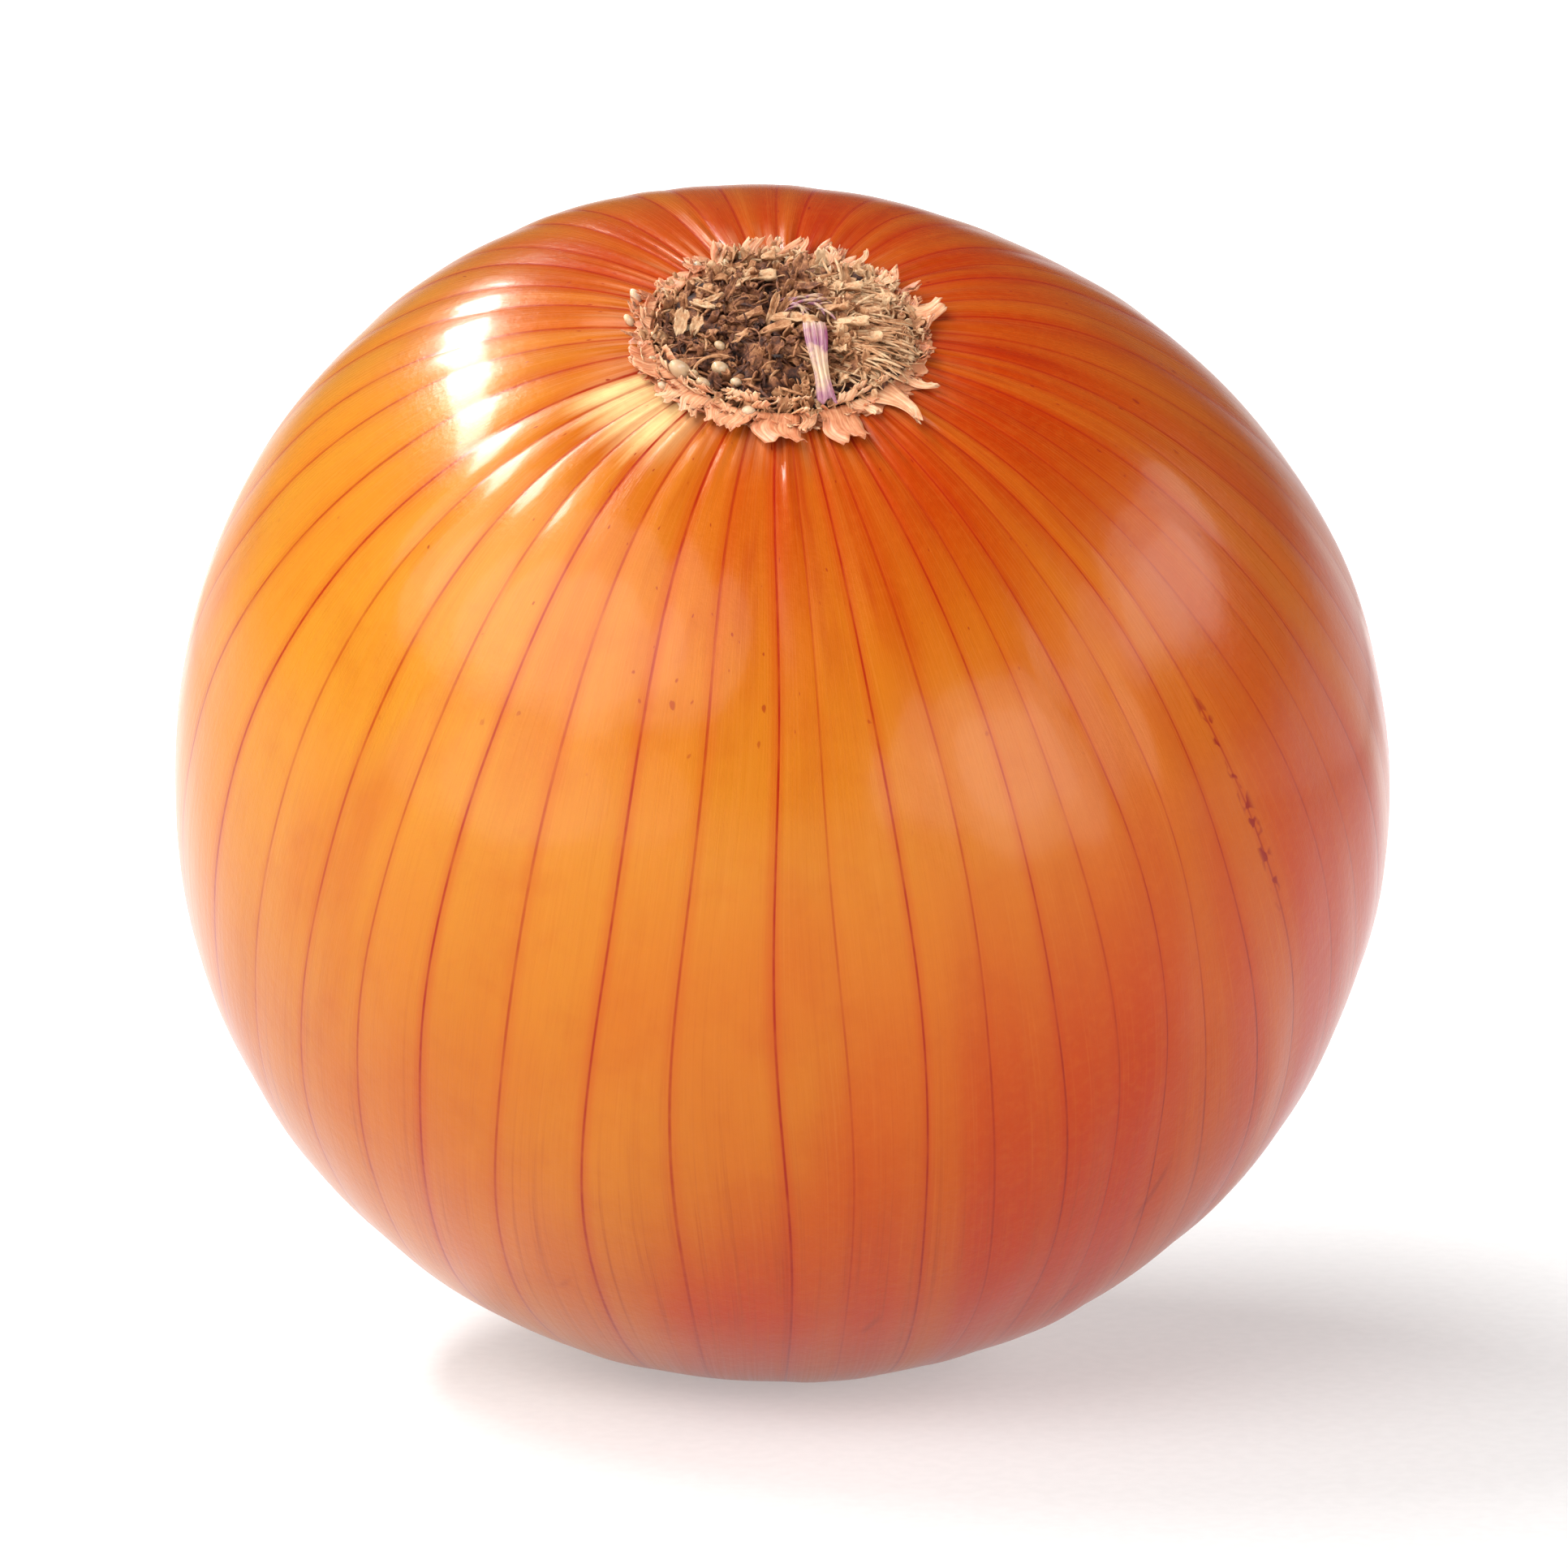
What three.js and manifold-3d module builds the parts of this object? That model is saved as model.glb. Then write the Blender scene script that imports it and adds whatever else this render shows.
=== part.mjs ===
// A large brown onion as picked and trimmed. It rests on its side and on the stub of its neck, so that
// the root end leans towards the viewer. Millimetres and degrees, +Z up, the viewer on -Y, the origin on
// the flat spot it rests on.
import * as THREE from 'three';
import { mergeVertices } from 'three/addons/utils/BufferGeometryUtils.js';
import Module from 'manifold-3d';

// Driving dimensions of the whole bulb
const EQUATOR_RADIUS = 42;
const POLE_SHARE = 0.986; // pole radius over equator radius, before either end sinks
const LEAN = 31; // the bulb's axis from upright, towards the viewer
const CENTRE_HEIGHT = 40.4; // less than the belly's reach by about 0.5, which is the flat spot
const VEINS = 46; // veins run from the roots to the neck
const SKIN_GAP = 0.35; // between pieces that touch

// The root end
const ROOT_SINK = 3.1; // how far the root end is flatter than a globe
const ROOT_SINK_REACH = 24; // degrees from the pole
const PLATE_RADIUS = 8.9; // the corky plate that the roots grew from
const SOCKET_DEPTH = 1.3;
const COLLAR_WIDTH = 1.1; // the band of torn skin round the plate
const COLLAR_THICKNESS = 0.8;
const COLLAR_EDGE = 0.35; // the band thins to this at its outer edge
const TAB_THICKNESS = 0.6;
const TAB_LIFT = 0.25; // a tab stands off the band's underside by this
const STUB_LEAN = 38; // a trimmed root leans up to this far

// The neck end
const NECK_RADIUS = 5.2;
const NECK_REACH = 45.4; // from the bulb's middle to the cut end of the neck
const NECK_SINK = 3; // how far the shoulder round the neck is flatter than a globe
const NECK_SINK_REACH = 28; // degrees from the pole
const NECK_RISE = 2.5; // how far the skin climbs again up to the neck
const NECK_FILLET = 2.5;

// Uneven growth: a full shoulder at the back left, and a flat one at the back right
const FULL_SHOULDER = 0.95;
const FULL_SHOULDER_AZIMUTH = 165;
const FLAT_SHOULDER = 0.7;
const FLAT_SHOULDER_AZIMUTH = 55;
const FLAT_SHOULDER_COLATITUDE = 42;
const FLAT_SHOULDER_WIDTH = 45;
const FLAT_SHOULDER_LENGTH = 16;

// Pleats: the skin is gathered between the veins at both ends
const PLEAT_HEIGHT = 0.2;
const PLEAT_REACH = 9; // how far out from the plate they fade

const SOCKET_RADIUS = PLATE_RADIUS + SKIN_GAP;
const COLLAR_INNER = SOCKET_RADIUS + 0.1;
const COLLAR_OUTER = COLLAR_INNER + COLLAR_WIDTH;
const PLATE_SIDES = 36;
const radians = THREE.MathUtils.degToRad;
const degrees = THREE.MathUtils.radToDeg;
const { cos, exp, hypot, max, min, PI, sin, sqrt } = Math;

const wasm = await Module();
wasm.setup();

// Solids and geometries

// A closed geometry as a solid, with doubled points merged and collapsed triangles dropped.
function solidFrom(geometry) {
  const bare = geometry.index ? geometry.toNonIndexed() : geometry.clone();
  bare.deleteAttribute('normal');
  bare.deleteAttribute('uv');
  const merged = mergeVertices(bare, 1e-4);
  const corners = merged.index.array;
  const kept = [];
  for (let i = 0; i < corners.length; i += 3) {
    const [a, b, c] = [corners[i], corners[i + 1], corners[i + 2]];
    if (a !== b && b !== c && a !== c) kept.push(a, b, c);
  }
  return new wasm.Manifold(new wasm.Mesh({
    numProp: 3,
    vertProperties: new Float32Array(merged.attributes.position.array),
    triVerts: new Uint32Array(kept),
  }));
}

function geometryFrom(solid) {
  const mesh = solid.getMesh();
  const geometry = new THREE.BufferGeometry();
  geometry.setAttribute('position', new THREE.BufferAttribute(mesh.vertProperties, 3));
  geometry.setIndex(new THREE.BufferAttribute(mesh.triVerts, 1));
  geometry.computeVertexNormals();
  return geometry;
}

// Moves every point of a geometry to where the given function puts it.
function shape(geometry, place) {
  const position = geometry.attributes.position;
  const point = new THREE.Vector3();
  for (let i = 0; i < position.count; i++) {
    point.fromBufferAttribute(position, i);
    place(point);
    position.setXYZ(i, point.x, point.y, point.z);
  }
  return geometry;
}

function joined(solids) {
  return solids.reduce((whole, piece) => whole.add(piece));
}

// The largest body of a solid, with any closed void inside it filled and its slivers smoothed away.
function mainBody(solid) {
  const sliver = 0.02;
  const largest = solid.decompose().reduce((most, body) => (body.volume() > most.volume() ? body : most));
  return largest.simplify(sliver);
}

// A repeatable stream of numbers from 0 to 1, by the usual mixing of a growing 32-bit state.
function seeded(seed) {
  let state = seed;
  return () => {
    state = (state + 0x6d2b79f5) | 0;
    let mixed = Math.imul(state ^ (state >>> 15), 1 | state);
    mixed = (mixed + Math.imul(mixed ^ (mixed >>> 7), 61 | mixed)) ^ mixed;
    return ((mixed ^ (mixed >>> 14)) >>> 0) / 4294967296;
  };
}

// The skin's surface, in the bulb's own frame: its middle at the origin and its roots towards +Z

// Height of the even, round skin at a parameter that runs from 0 at the roots to 180 at the neck.
function skinHeight(parameter) {
  const globe = POLE_SHARE * EQUATOR_RADIUS * cos(radians(parameter));
  if (parameter <= 90) return globe - ROOT_SINK * exp(-((parameter / ROOT_SINK_REACH) ** 2));
  const toNeck = 180 - parameter;
  const ring = EQUATOR_RADIUS * sin(radians(parameter));
  const flattening = NECK_SINK * exp(-((toNeck / NECK_SINK_REACH) ** 2));
  const climb = NECK_RISE * exp(-max(0, ring - NECK_RADIUS) / NECK_FILLET);
  return globe + flattening - climb;
}

// How far the real skin stands off the even one, in the direction of a point.
function unevenness(point) {
  const ring = hypot(point.x, point.y);
  const colatitude = degrees(Math.atan2(ring, point.z));
  const azimuth = degrees(Math.atan2(point.y, point.x));
  const shoulder = colatitude < 90 ? sin(radians(2 * colatitude)) ** 2 : 0;
  const full = FULL_SHOULDER * shoulder * cos(radians(azimuth - FULL_SHOULDER_AZIMUTH));
  const aside = THREE.MathUtils.euclideanModulo(azimuth - FLAT_SHOULDER_AZIMUTH + 180, 360) - 180;
  const along = colatitude - FLAT_SHOULDER_COLATITUDE;
  const sunken = exp(-((aside / FLAT_SHOULDER_WIDTH) ** 2) - (along / FLAT_SHOULDER_LENGTH) ** 2);
  const edge = colatitude < 90 ? SOCKET_RADIUS : NECK_RADIUS;
  const pleat = PLEAT_HEIGHT * exp(-(((ring - edge) / PLEAT_REACH) ** 2)) * cos(radians(azimuth) * VEINS);
  return full - FLAT_SHOULDER * sunken + pleat;
}

function growUnevenly(point) {
  const reach = point.length();
  if (hypot(point.x, point.y) > PLATE_RADIUS || point.z < 0) {
    point.multiplyScalar((reach + unevenness(point)) / reach);
  }
}

// The skin's height over a place near the root end, given by its ring radius and azimuth in radians.
function rootEndHeight(ring, azimuth) {
  const parameter = degrees(Math.asin(min(1, ring / EQUATOR_RADIUS)));
  const point = new THREE.Vector3(ring * cos(azimuth), ring * sin(azimuth), skinHeight(parameter));
  return point.z + unevenness(point);
}

// Bulb: one round body under a tight skin, with a socket where the root plate sits

function bulbProfile() {
  const first = degrees(Math.asin(SOCKET_RADIUS / EQUATOR_RADIUS));
  const last = 180 - degrees(Math.asin(NECK_RADIUS / EQUATOR_RADIUS));
  const rings = 26;
  const crowding = 0.5; // rings lie closer together at both ends
  const points = [];
  for (let i = 0; i <= rings; i++) {
    const share = i / rings;
    const eased = share - (crowding * sin(2 * PI * share)) / (2 * PI);
    const parameter = first + (last - first) * eased;
    points.push(new THREE.Vector2(EQUATOR_RADIUS * sin(radians(parameter)), skinHeight(parameter)));
  }
  const socketFloor = points[0].y - SOCKET_DEPTH;
  points.unshift(new THREE.Vector2(0, socketFloor), new THREE.Vector2(SOCKET_RADIUS, socketFloor));
  points.push(new THREE.Vector2(0, points.at(-1).y));
  return points.reverse();
}

function makeBulb() {
  const turned = new THREE.LatheGeometry(bulbProfile(), 2 * VEINS).rotateX(PI / 2);
  return solidFrom(shape(turned, growUnevenly)).subtract(floor);
}

// Root plate: a low corky dome, covered with the dry stubs of trimmed roots

function makeRootPlate() {
  const random = seeded(11);
  const rimHeight = skinHeight(degrees(Math.asin(SOCKET_RADIUS / EQUATOR_RADIUS)));
  const underside = rimHeight - SOCKET_DEPTH + SKIN_GAP;
  const chamfer = 0.4;
  const dome = new THREE.LatheGeometry([
    new THREE.Vector2(0, underside),
    new THREE.Vector2(PLATE_RADIUS - chamfer, underside),
    new THREE.Vector2(PLATE_RADIUS, underside + chamfer),
    new THREE.Vector2(PLATE_RADIUS, rimHeight - 0.1),
    new THREE.Vector2(PLATE_RADIUS * 0.94, rimHeight + 0.25),
    new THREE.Vector2(PLATE_RADIUS * 0.6, rimHeight + 0.6),
    new THREE.Vector2(0, rimHeight + 0.7),
  ], PLATE_SIDES).rotateX(PI / 2);
  const pieces = [solidFrom(dome)];

  const stubs = 84;
  const rooted = 0.8; // how much of a stub is inside the dome
  const margin = 0.75; // from the plate's edge
  const goldenAngle = PI * (3 - sqrt(5));
  for (let i = 0; i < stubs; i++) {
    const ring = (PLATE_RADIUS - margin) * sqrt((i + 0.5) / stubs);
    const azimuth = i * goldenAngle + 0.3 * random();
    const thickness = 0.45 + 0.35 * random();
    const length = 1.1 + 0.9 * random();
    const tall = length + rooted;
    const stub = new THREE.CylinderGeometry(thickness * 0.55, thickness, tall, 4, 1).rotateX(PI / 2);
    stub.rotateZ(2 * PI * random());
    stub.rotateX(radians(STUB_LEAN) * (2 * random() - 1));
    stub.rotateY(radians(STUB_LEAN) * (2 * random() - 1));
    stub.translate(ring * cos(azimuth), ring * sin(azimuth), rimHeight + length / 2 + 0.3);
    pieces.push(solidFrom(stub));
  }
  return mainBody(joined(pieces).intersect(solidFrom(plateRoom(underside))));
}

// The room that the plate has, up to the collar: no stub leans out over it.
function plateRoom(underside) {
  const height = 6;
  return new THREE.CylinderGeometry(PLATE_RADIUS, PLATE_RADIUS, height, PLATE_SIDES)
    .rotateX(PI / 2)
    .translate(0, 0, underside + height / 2);
}

// Root collar: the torn edge of the dry outer skin round the plate, with its ragged tabs and pale root tips

// One torn tab: a flat ragged outline, bent so that it leaves the collar and lies out over the skin.
function tornTab({ azimuth, width, length, lift, random }) {
  const half = width / 2;
  const root = -COLLAR_WIDTH * 0.45;
  const jag = () => 0.22 * width * (random() - 0.5);
  const outline = new THREE.Shape([
    new THREE.Vector2(-half, root),
    new THREE.Vector2(half, root),
    new THREE.Vector2(half * 1.02 + jag(), length * 0.35),
    new THREE.Vector2(half * 0.9 + jag(), length * 0.72),
    new THREE.Vector2(half * 0.55, length * (0.98 - 0.12 * random())),
    new THREE.Vector2(half * 0.1, length * (0.8 + 0.1 * random())),
    new THREE.Vector2(-half * 0.4, length),
    new THREE.Vector2(-half * 0.92 + jag(), length * 0.68),
    new THREE.Vector2(-half * 1.02 + jag(), length * 0.33),
  ]);
  const tab = new THREE.ExtrudeGeometry(outline, { depth: TAB_THICKNESS, bevelEnabled: false, steps: 1 });
  const cupping = 0.25;
  return shape(tab, (point) => {
    const share = max(0, point.y / length);
    const ring = (COLLAR_INNER + COLLAR_OUTER) / 2 + point.y * cos(radians(lift) * share);
    const turn = azimuth - point.x / ring;
    const cup = cupping * (point.x / half) ** 2 * share; // the tab curls up at its sides
    const rise = length * sin(radians(lift) * share) * share;
    const height = rootEndHeight(ring, turn) + SKIN_GAP + TAB_LIFT + rise + cup + point.z;
    point.set(ring * cos(turn), ring * sin(turn), height);
  });
}

function makeRootCollar() {
  const random = seeded(30);
  const outline = [
    new THREE.Vector2(COLLAR_INNER, 0),
    new THREE.Vector2(COLLAR_OUTER, 0),
    new THREE.Vector2(COLLAR_OUTER, COLLAR_EDGE),
    new THREE.Vector2(COLLAR_OUTER - COLLAR_EDGE, COLLAR_THICKNESS),
    new THREE.Vector2(COLLAR_INNER, COLLAR_THICKNESS),
    new THREE.Vector2(COLLAR_INNER, 0),
  ];
  // Half a vein's turn puts the band's corners on the crests of the pleats.
  const band = new THREE.LatheGeometry(outline, VEINS, PI / VEINS).rotateX(PI / 2);
  const pieces = [solidFrom(shape(band, (point) => {
    const azimuth = Math.atan2(point.y, point.x);
    point.z += rootEndHeight(hypot(point.x, point.y), azimuth) + SKIN_GAP;
  }))];

  // The longest tabs: one out to the right, and three broad curled ones towards the viewer.
  const longTabs = [
    { azimuth: radians(12), width: 2, length: 2.9, lift: 14 },
    { azimuth: radians(-52), width: 1.7, length: 2.9, lift: 12 },
    { azimuth: radians(-72), width: 2.6, length: 2.5, lift: 24 },
    { azimuth: radians(-89), width: 3, length: 2.2, lift: 30 },
  ];
  for (const tab of longTabs) pieces.push(solidFrom(tornTab({ ...tab, random })));
  const tabs = 28;
  for (let i = 0; i < tabs; i++) {
    pieces.push(solidFrom(tornTab({
      azimuth: (2 * PI * (i + 0.5 * random())) / tabs,
      width: 1.3 + 0.9 * random(),
      length: 1.2 + 1.4 * random() ** 1.5,
      lift: 15 + 45 * random(),
      random,
    })));
  }

  const rootTips = 20;
  for (let i = 0; i < rootTips; i++) {
    const azimuth = (2 * PI * (i + 0.7 * random())) / rootTips;
    const ring = COLLAR_INNER + COLLAR_WIDTH * (0.4 + 0.36 * random());
    const radius = 0.5 + 0.18 * random();
    const tip = new THREE.OctahedronGeometry(radius, 1);
    const height = rootEndHeight(ring, azimuth) + SKIN_GAP + COLLAR_THICKNESS;
    tip.translate(ring * cos(azimuth), ring * sin(azimuth), height);
    pieces.push(solidFrom(tip));
  }
  // The hole that the plate sits in reaches all the way up.
  const hole = 1 + SKIN_GAP / PLATE_RADIUS;
  return mainBody(joined(pieces).subtract(solidFrom(plateRoom(0).scale(hole, hole, EQUATOR_RADIUS))));
}

// Neck: the dry leaf bases, pinched together and cut short

function makeNeck() {
  const random = seeded(37);
  const folds = 11;
  const foldHeight = 0.28;
  const twist = 0.06; // radians per mm
  const colatitude = 180 - degrees(Math.asin(NECK_RADIUS / EQUATOR_RADIUS));
  const shoulder = SKIN_GAP - skinHeight(colatitude);
  const length = NECK_REACH - shoulder;
  const core = new THREE.LatheGeometry([
    new THREE.Vector2(0, 0),
    new THREE.Vector2(NECK_RADIUS * 0.92, 0),
    new THREE.Vector2(NECK_RADIUS * 0.86, length * 0.3),
    new THREE.Vector2(NECK_RADIUS * 0.8, length * 0.65),
    new THREE.Vector2(NECK_RADIUS * 0.66, length * 0.8),
    new THREE.Vector2(NECK_RADIUS * 0.3, length * 0.62),
    new THREE.Vector2(0, length * 0.55),
  ], 3 * folds).rotateX(PI / 2);
  shape(core, (point) => {
    const ring = hypot(point.x, point.y);
    const azimuth = Math.atan2(point.y, point.x);
    const twisted = azimuth + twist * point.z;
    const folded = ring * (1 + (foldHeight * cos(folds * azimuth)) / NECK_RADIUS);
    point.set(folded * cos(twisted), folded * sin(twisted), point.z);
  });
  const pieces = [solidFrom(core)];

  const leafEnds = 14;
  for (let i = 0; i < leafEnds; i++) {
    const azimuth = (2 * PI * (i + 0.4 * random())) / leafEnds;
    const ring = NECK_RADIUS * (i % 2 ? 0.72 : 0.5);
    const width = 1.7 + 0.7 * random();
    const tall = length * (0.86 + 0.14 * random());
    const flare = radians(4 + 14 * random());
    const leaf = new THREE.Shape([
      new THREE.Vector2(-width / 2, length * 0.3),
      new THREE.Vector2(width / 2, length * 0.3),
      new THREE.Vector2(width * 0.46, tall * 0.8),
      new THREE.Vector2(width * 0.2, tall * (0.9 + 0.1 * random())),
      new THREE.Vector2(0, tall * 0.86),
      new THREE.Vector2(-width * 0.3, tall),
      new THREE.Vector2(-width * 0.48, tall * 0.78),
    ]);
    const blade = new THREE.ExtrudeGeometry(leaf, { depth: TAB_THICKNESS, bevelEnabled: false, steps: 1 });
    shape(blade, (point) => {
      const reach = ring + point.z + point.y * sin(flare);
      const turn = azimuth + point.x / ring;
      point.set(reach * cos(turn), reach * sin(turn), point.y);
    });
    pieces.push(solidFrom(blade));
  }
  // Built with its cut end up, then turned over to point away from the roots.
  return mainBody(joined(pieces).rotate([180, 0, 0]).translate([0, 0, -shoulder]).subtract(floor));
}

// Assembly

const onion = new THREE.Group();
onion.position.z = CENTRE_HEIGHT;
onion.rotation.x = radians(LEAN);
onion.updateMatrixWorld(true);

// What lies below the surface, in the bulb's own frame.
const floorSize = 200;
const floor = solidFrom(new THREE.BoxGeometry(floorSize, floorSize, floorSize)
  .translate(0, 0, -floorSize / 2)
  .applyMatrix4(onion.matrixWorld.clone().invert()));

function addPiece(name, solid, color, roughness) {
  const material = new THREE.MeshStandardMaterial({ color, roughness, metalness: 0 });
  const mesh = new THREE.Mesh(geometryFrom(solid), material);
  mesh.name = name;
  onion.add(mesh);
}

addPiece('bulb', makeBulb(), 0xd87a35, 0.32);
addPiece('root_plate', makeRootPlate(), 0x8e6a4a, 0.95);
addPiece('root_collar', makeRootCollar(), 0xd9a582, 0.8);
addPiece('neck', makeNeck(), 0xc79a63, 0.85);

const part = new THREE.Group();
part.add(onion);

export default part;
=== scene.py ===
import math
import random

import bpy
import numpy as np
from mathutils import Matrix, Vector


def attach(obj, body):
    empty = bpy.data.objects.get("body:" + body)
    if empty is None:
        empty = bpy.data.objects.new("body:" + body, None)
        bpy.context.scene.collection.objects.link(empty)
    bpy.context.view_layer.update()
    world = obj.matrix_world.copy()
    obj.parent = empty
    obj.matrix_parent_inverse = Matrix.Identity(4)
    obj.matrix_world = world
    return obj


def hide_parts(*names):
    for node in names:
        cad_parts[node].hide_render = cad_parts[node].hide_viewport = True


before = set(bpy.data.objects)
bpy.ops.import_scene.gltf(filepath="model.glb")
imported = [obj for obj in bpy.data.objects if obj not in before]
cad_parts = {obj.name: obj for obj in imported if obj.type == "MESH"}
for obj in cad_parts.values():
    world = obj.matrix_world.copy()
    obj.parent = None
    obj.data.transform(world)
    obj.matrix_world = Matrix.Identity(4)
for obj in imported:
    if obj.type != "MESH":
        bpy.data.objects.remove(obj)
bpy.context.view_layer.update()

# Bulb.
# A large brown onion lying on its belly, its root end leaning towards the viewer. Dry glossy skin is
# stretched over it in one piece, and gathered in pleats where it meets the root plate and the neck.
MM = 0.001
EQUATOR_RADIUS = 42.0
POLE_SHARE = 0.986
LEAN = 31.0
CENTRE_HEIGHT = 40.4
ROOT_SINK = 3.1
ROOT_SINK_REACH = 24.0
PLATE_RADIUS = 8.9
SOCKET_RADIUS = PLATE_RADIUS + 0.35
SOCKET_DEPTH = 1.2
NECK_RADIUS = 5.2
NECK_SINK = 3.0
NECK_SINK_REACH = 28.0
NECK_RISE = 2.5
NECK_FILLET = 2.5
FULL_SHOULDER = 0.95
FULL_SHOULDER_AZIMUTH = 165.0
FLAT_SHOULDER = 0.7
FLAT_SHOULDER_AZIMUTH = 55.0
FLAT_SHOULDER_COLATITUDE = 42.0
ROOT_PLEATS = 0.08
NECK_PLEATS = 0.3
STRIP_SWELL = 0.12  # how far the strips left of the root plate stand out between their veins
STRIP_SWELL_AZIMUTH = -152.0
STRIP_SWELL_PARAMETER = 30.0

# The veins that face the viewer, left to right: azimuth in degrees at the widest part, and darkness.
FRONT_VEINS = (
    (-178, 0.5), (-166.5, 0.6), (-156, 0.9), (-147.8, 0.35), (-139.7, 0.6), (-132, 0.5), (-124.7, 1.0),
    (-116.1, 0.55), (-107, 0.9), (-99, 0.6), (-89.7, 1.0), (-84.2, 0.25), (-77.4, 0.9), (-71.1, 0.45),
    (-64.3, 0.75), (-58.7, 0.35), (-52.6, 0.65), (-47.1, 0.35), (-40.8, 0.7), (-35.6, 0.6), (-28.4, 0.4),
    (-22.6, 0.35), (-16.1, 0.6), (-9.5, 0.3), (-3.7, 0.6), (5, 0.4), (14.5, 0.5),
)
BACK_VEINS = 19
WORN_VEIN = 19.0  # counted from the left
STEPS_PER_VEIN = 10
# Waves of the whole skin: how many round the bulb, how many radians of climb per radian, phase, height.
SKIN_WAVES = (
    (5, 7, 0.4, 0.05), (9, -6, 1.9, 0.045), (14, 9, 3.3, 0.035), (23, -4, 0.8, 0.025),
    (31, 13, 2.6, 0.015), (3, 19, 5.1, 0.02),
)
RIB_WAVES = ((29, 0.4), (41, 2.2), (58, 4.1), (77, 1.3), (101, 5.0))  # waves round the bulb, and phase
SKIN_RINGS = 190
SEAM = 0.002  # vertices of a rolled sheet nearer to each other than this are joined

dice = random.Random(4)
vein_azimuths = [azimuth for azimuth, dark in FRONT_VEINS]
vein_darkness = [dark for azimuth, dark in FRONT_VEINS]
back_step = (vein_azimuths[0] + 360 - vein_azimuths[-1]) / (BACK_VEINS + 1)
for number in range(BACK_VEINS):
    vein_azimuths.append(FRONT_VEINS[-1][0] + back_step * (number + 1 + dice.uniform(-0.22, 0.22)))
    vein_darkness.append(dice.choice((0.3, 0.45, 0.6, 0.95)))
VEINS = len(vein_azimuths)
vein_azimuths.append(vein_azimuths[0] + 360)
# How far each strip of skin bulges between its two veins.
strip_fullness = [dice.uniform(0.01, 0.055) for number in range(VEINS)]


def bump(distance, reach):
    return np.exp(-((distance / reach) ** 2))


def turned_from(middle, azimuth):
    """How far an azimuth is turned from a middle one, from -180 to 180 degrees."""
    return (azimuth - middle + 180) % 360 - 180


def in_row_frame(x, y, z):
    """Points in the bulb's own frame, roots along +z, in mm, as an array in the row frame, in metres."""
    lean = math.radians(LEAN)
    leaning_y = y * math.cos(lean) - z * math.sin(lean)
    leaning_z = y * math.sin(lean) + z * math.cos(lean) + CENTRE_HEIGHT
    return np.stack((x, leaning_y, leaning_z), axis=-1) * MM


def grown(azimuth, parameter):
    """Points of the skin in the bulb's own frame, by azimuth and by a parameter: 0 at the roots to 180."""
    azimuth, parameter = np.broadcast_arrays(np.asarray(azimuth, float), np.asarray(parameter, float))
    ring = EQUATOR_RADIUS * np.sin(np.radians(parameter))
    height = POLE_SHARE * EQUATOR_RADIUS * np.cos(np.radians(parameter))
    root_half = parameter <= 90
    height = height - ROOT_SINK * bump(parameter, ROOT_SINK_REACH) * root_half
    height = height + NECK_SINK * bump(180 - parameter, NECK_SINK_REACH) * ~root_half
    height = height - NECK_RISE * np.exp(-np.maximum(0, ring - NECK_RADIUS) / NECK_FILLET) * ~root_half
    colatitude = np.degrees(np.arctan2(ring, height))
    shoulder = np.sin(np.radians(2 * colatitude)) ** 2 * (colatitude < 90)
    swell = FULL_SHOULDER * shoulder * np.cos(np.radians(azimuth - FULL_SHOULDER_AZIMUTH))
    aside = turned_from(FLAT_SHOULDER_AZIMUTH, azimuth)
    swell = swell - FLAT_SHOULDER * bump(aside, 45) * bump(colatitude - FLAT_SHOULDER_COLATITUDE, 16)
    scale = 1 + swell / np.hypot(ring, height)
    ring, height = ring * scale, height * scale
    return ring * np.cos(np.radians(azimuth)), ring * np.sin(np.radians(azimuth)), height


def deselect_all():
    if bpy.context.object and bpy.context.object.mode != "OBJECT":
        bpy.ops.object.mode_set(mode="OBJECT")
    bpy.ops.object.select_all(action="DESELECT")


def select_only(piece):
    deselect_all()
    bpy.context.view_layer.objects.active = piece
    piece.select_set(True)


def vertex_array(piece):
    places = np.zeros(len(piece.data.vertices) * 3)
    piece.data.vertices.foreach_get("co", places)
    return places.reshape(-1, 3)


def set_vertex_array(piece, places):
    piece.data.vertices.foreach_set("co", places.astype(np.float32).ravel())
    piece.data.update()


def mark_vertices(mesh, name, values):
    """A value at each vertex, which a material reads by its name."""
    marks = mesh.attributes.new(name, "FLOAT", "POINT")
    marks.data.foreach_set("value", values.astype(np.float32))


def flat_sheet(name, across, along):
    """A grid from 0 to 1 in x and y, whose own UV map has the same range."""
    deselect_all()
    bpy.ops.mesh.primitive_grid_add(
        x_subdivisions=across, y_subdivisions=along, size=1, location=(0, 0, 0)
    )
    sheet = bpy.context.object
    sheet.name = name
    places = vertex_array(sheet)
    places[:, :2] += 0.5
    set_vertex_array(sheet, places)
    return sheet


def weld(piece, distance=SEAM):
    select_only(piece)
    bpy.ops.object.mode_set(mode="EDIT")
    bpy.ops.mesh.select_all(action="SELECT")
    bpy.ops.mesh.remove_doubles(threshold=distance * MM)
    bpy.ops.mesh.normals_make_consistent(inside=False)
    bpy.ops.object.mode_set(mode="OBJECT")


def hand_over(piece):
    """Smooths a finished piece and ties it to the frame."""
    select_only(piece)
    bpy.ops.object.shade_smooth()
    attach(piece, "root")


def crowded(share):
    """A share from 0 to 1, moved so that equal steps lie closer together at both ends."""
    return share - 0.55 * np.sin(2 * np.pi * share) / (2 * np.pi)


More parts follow.
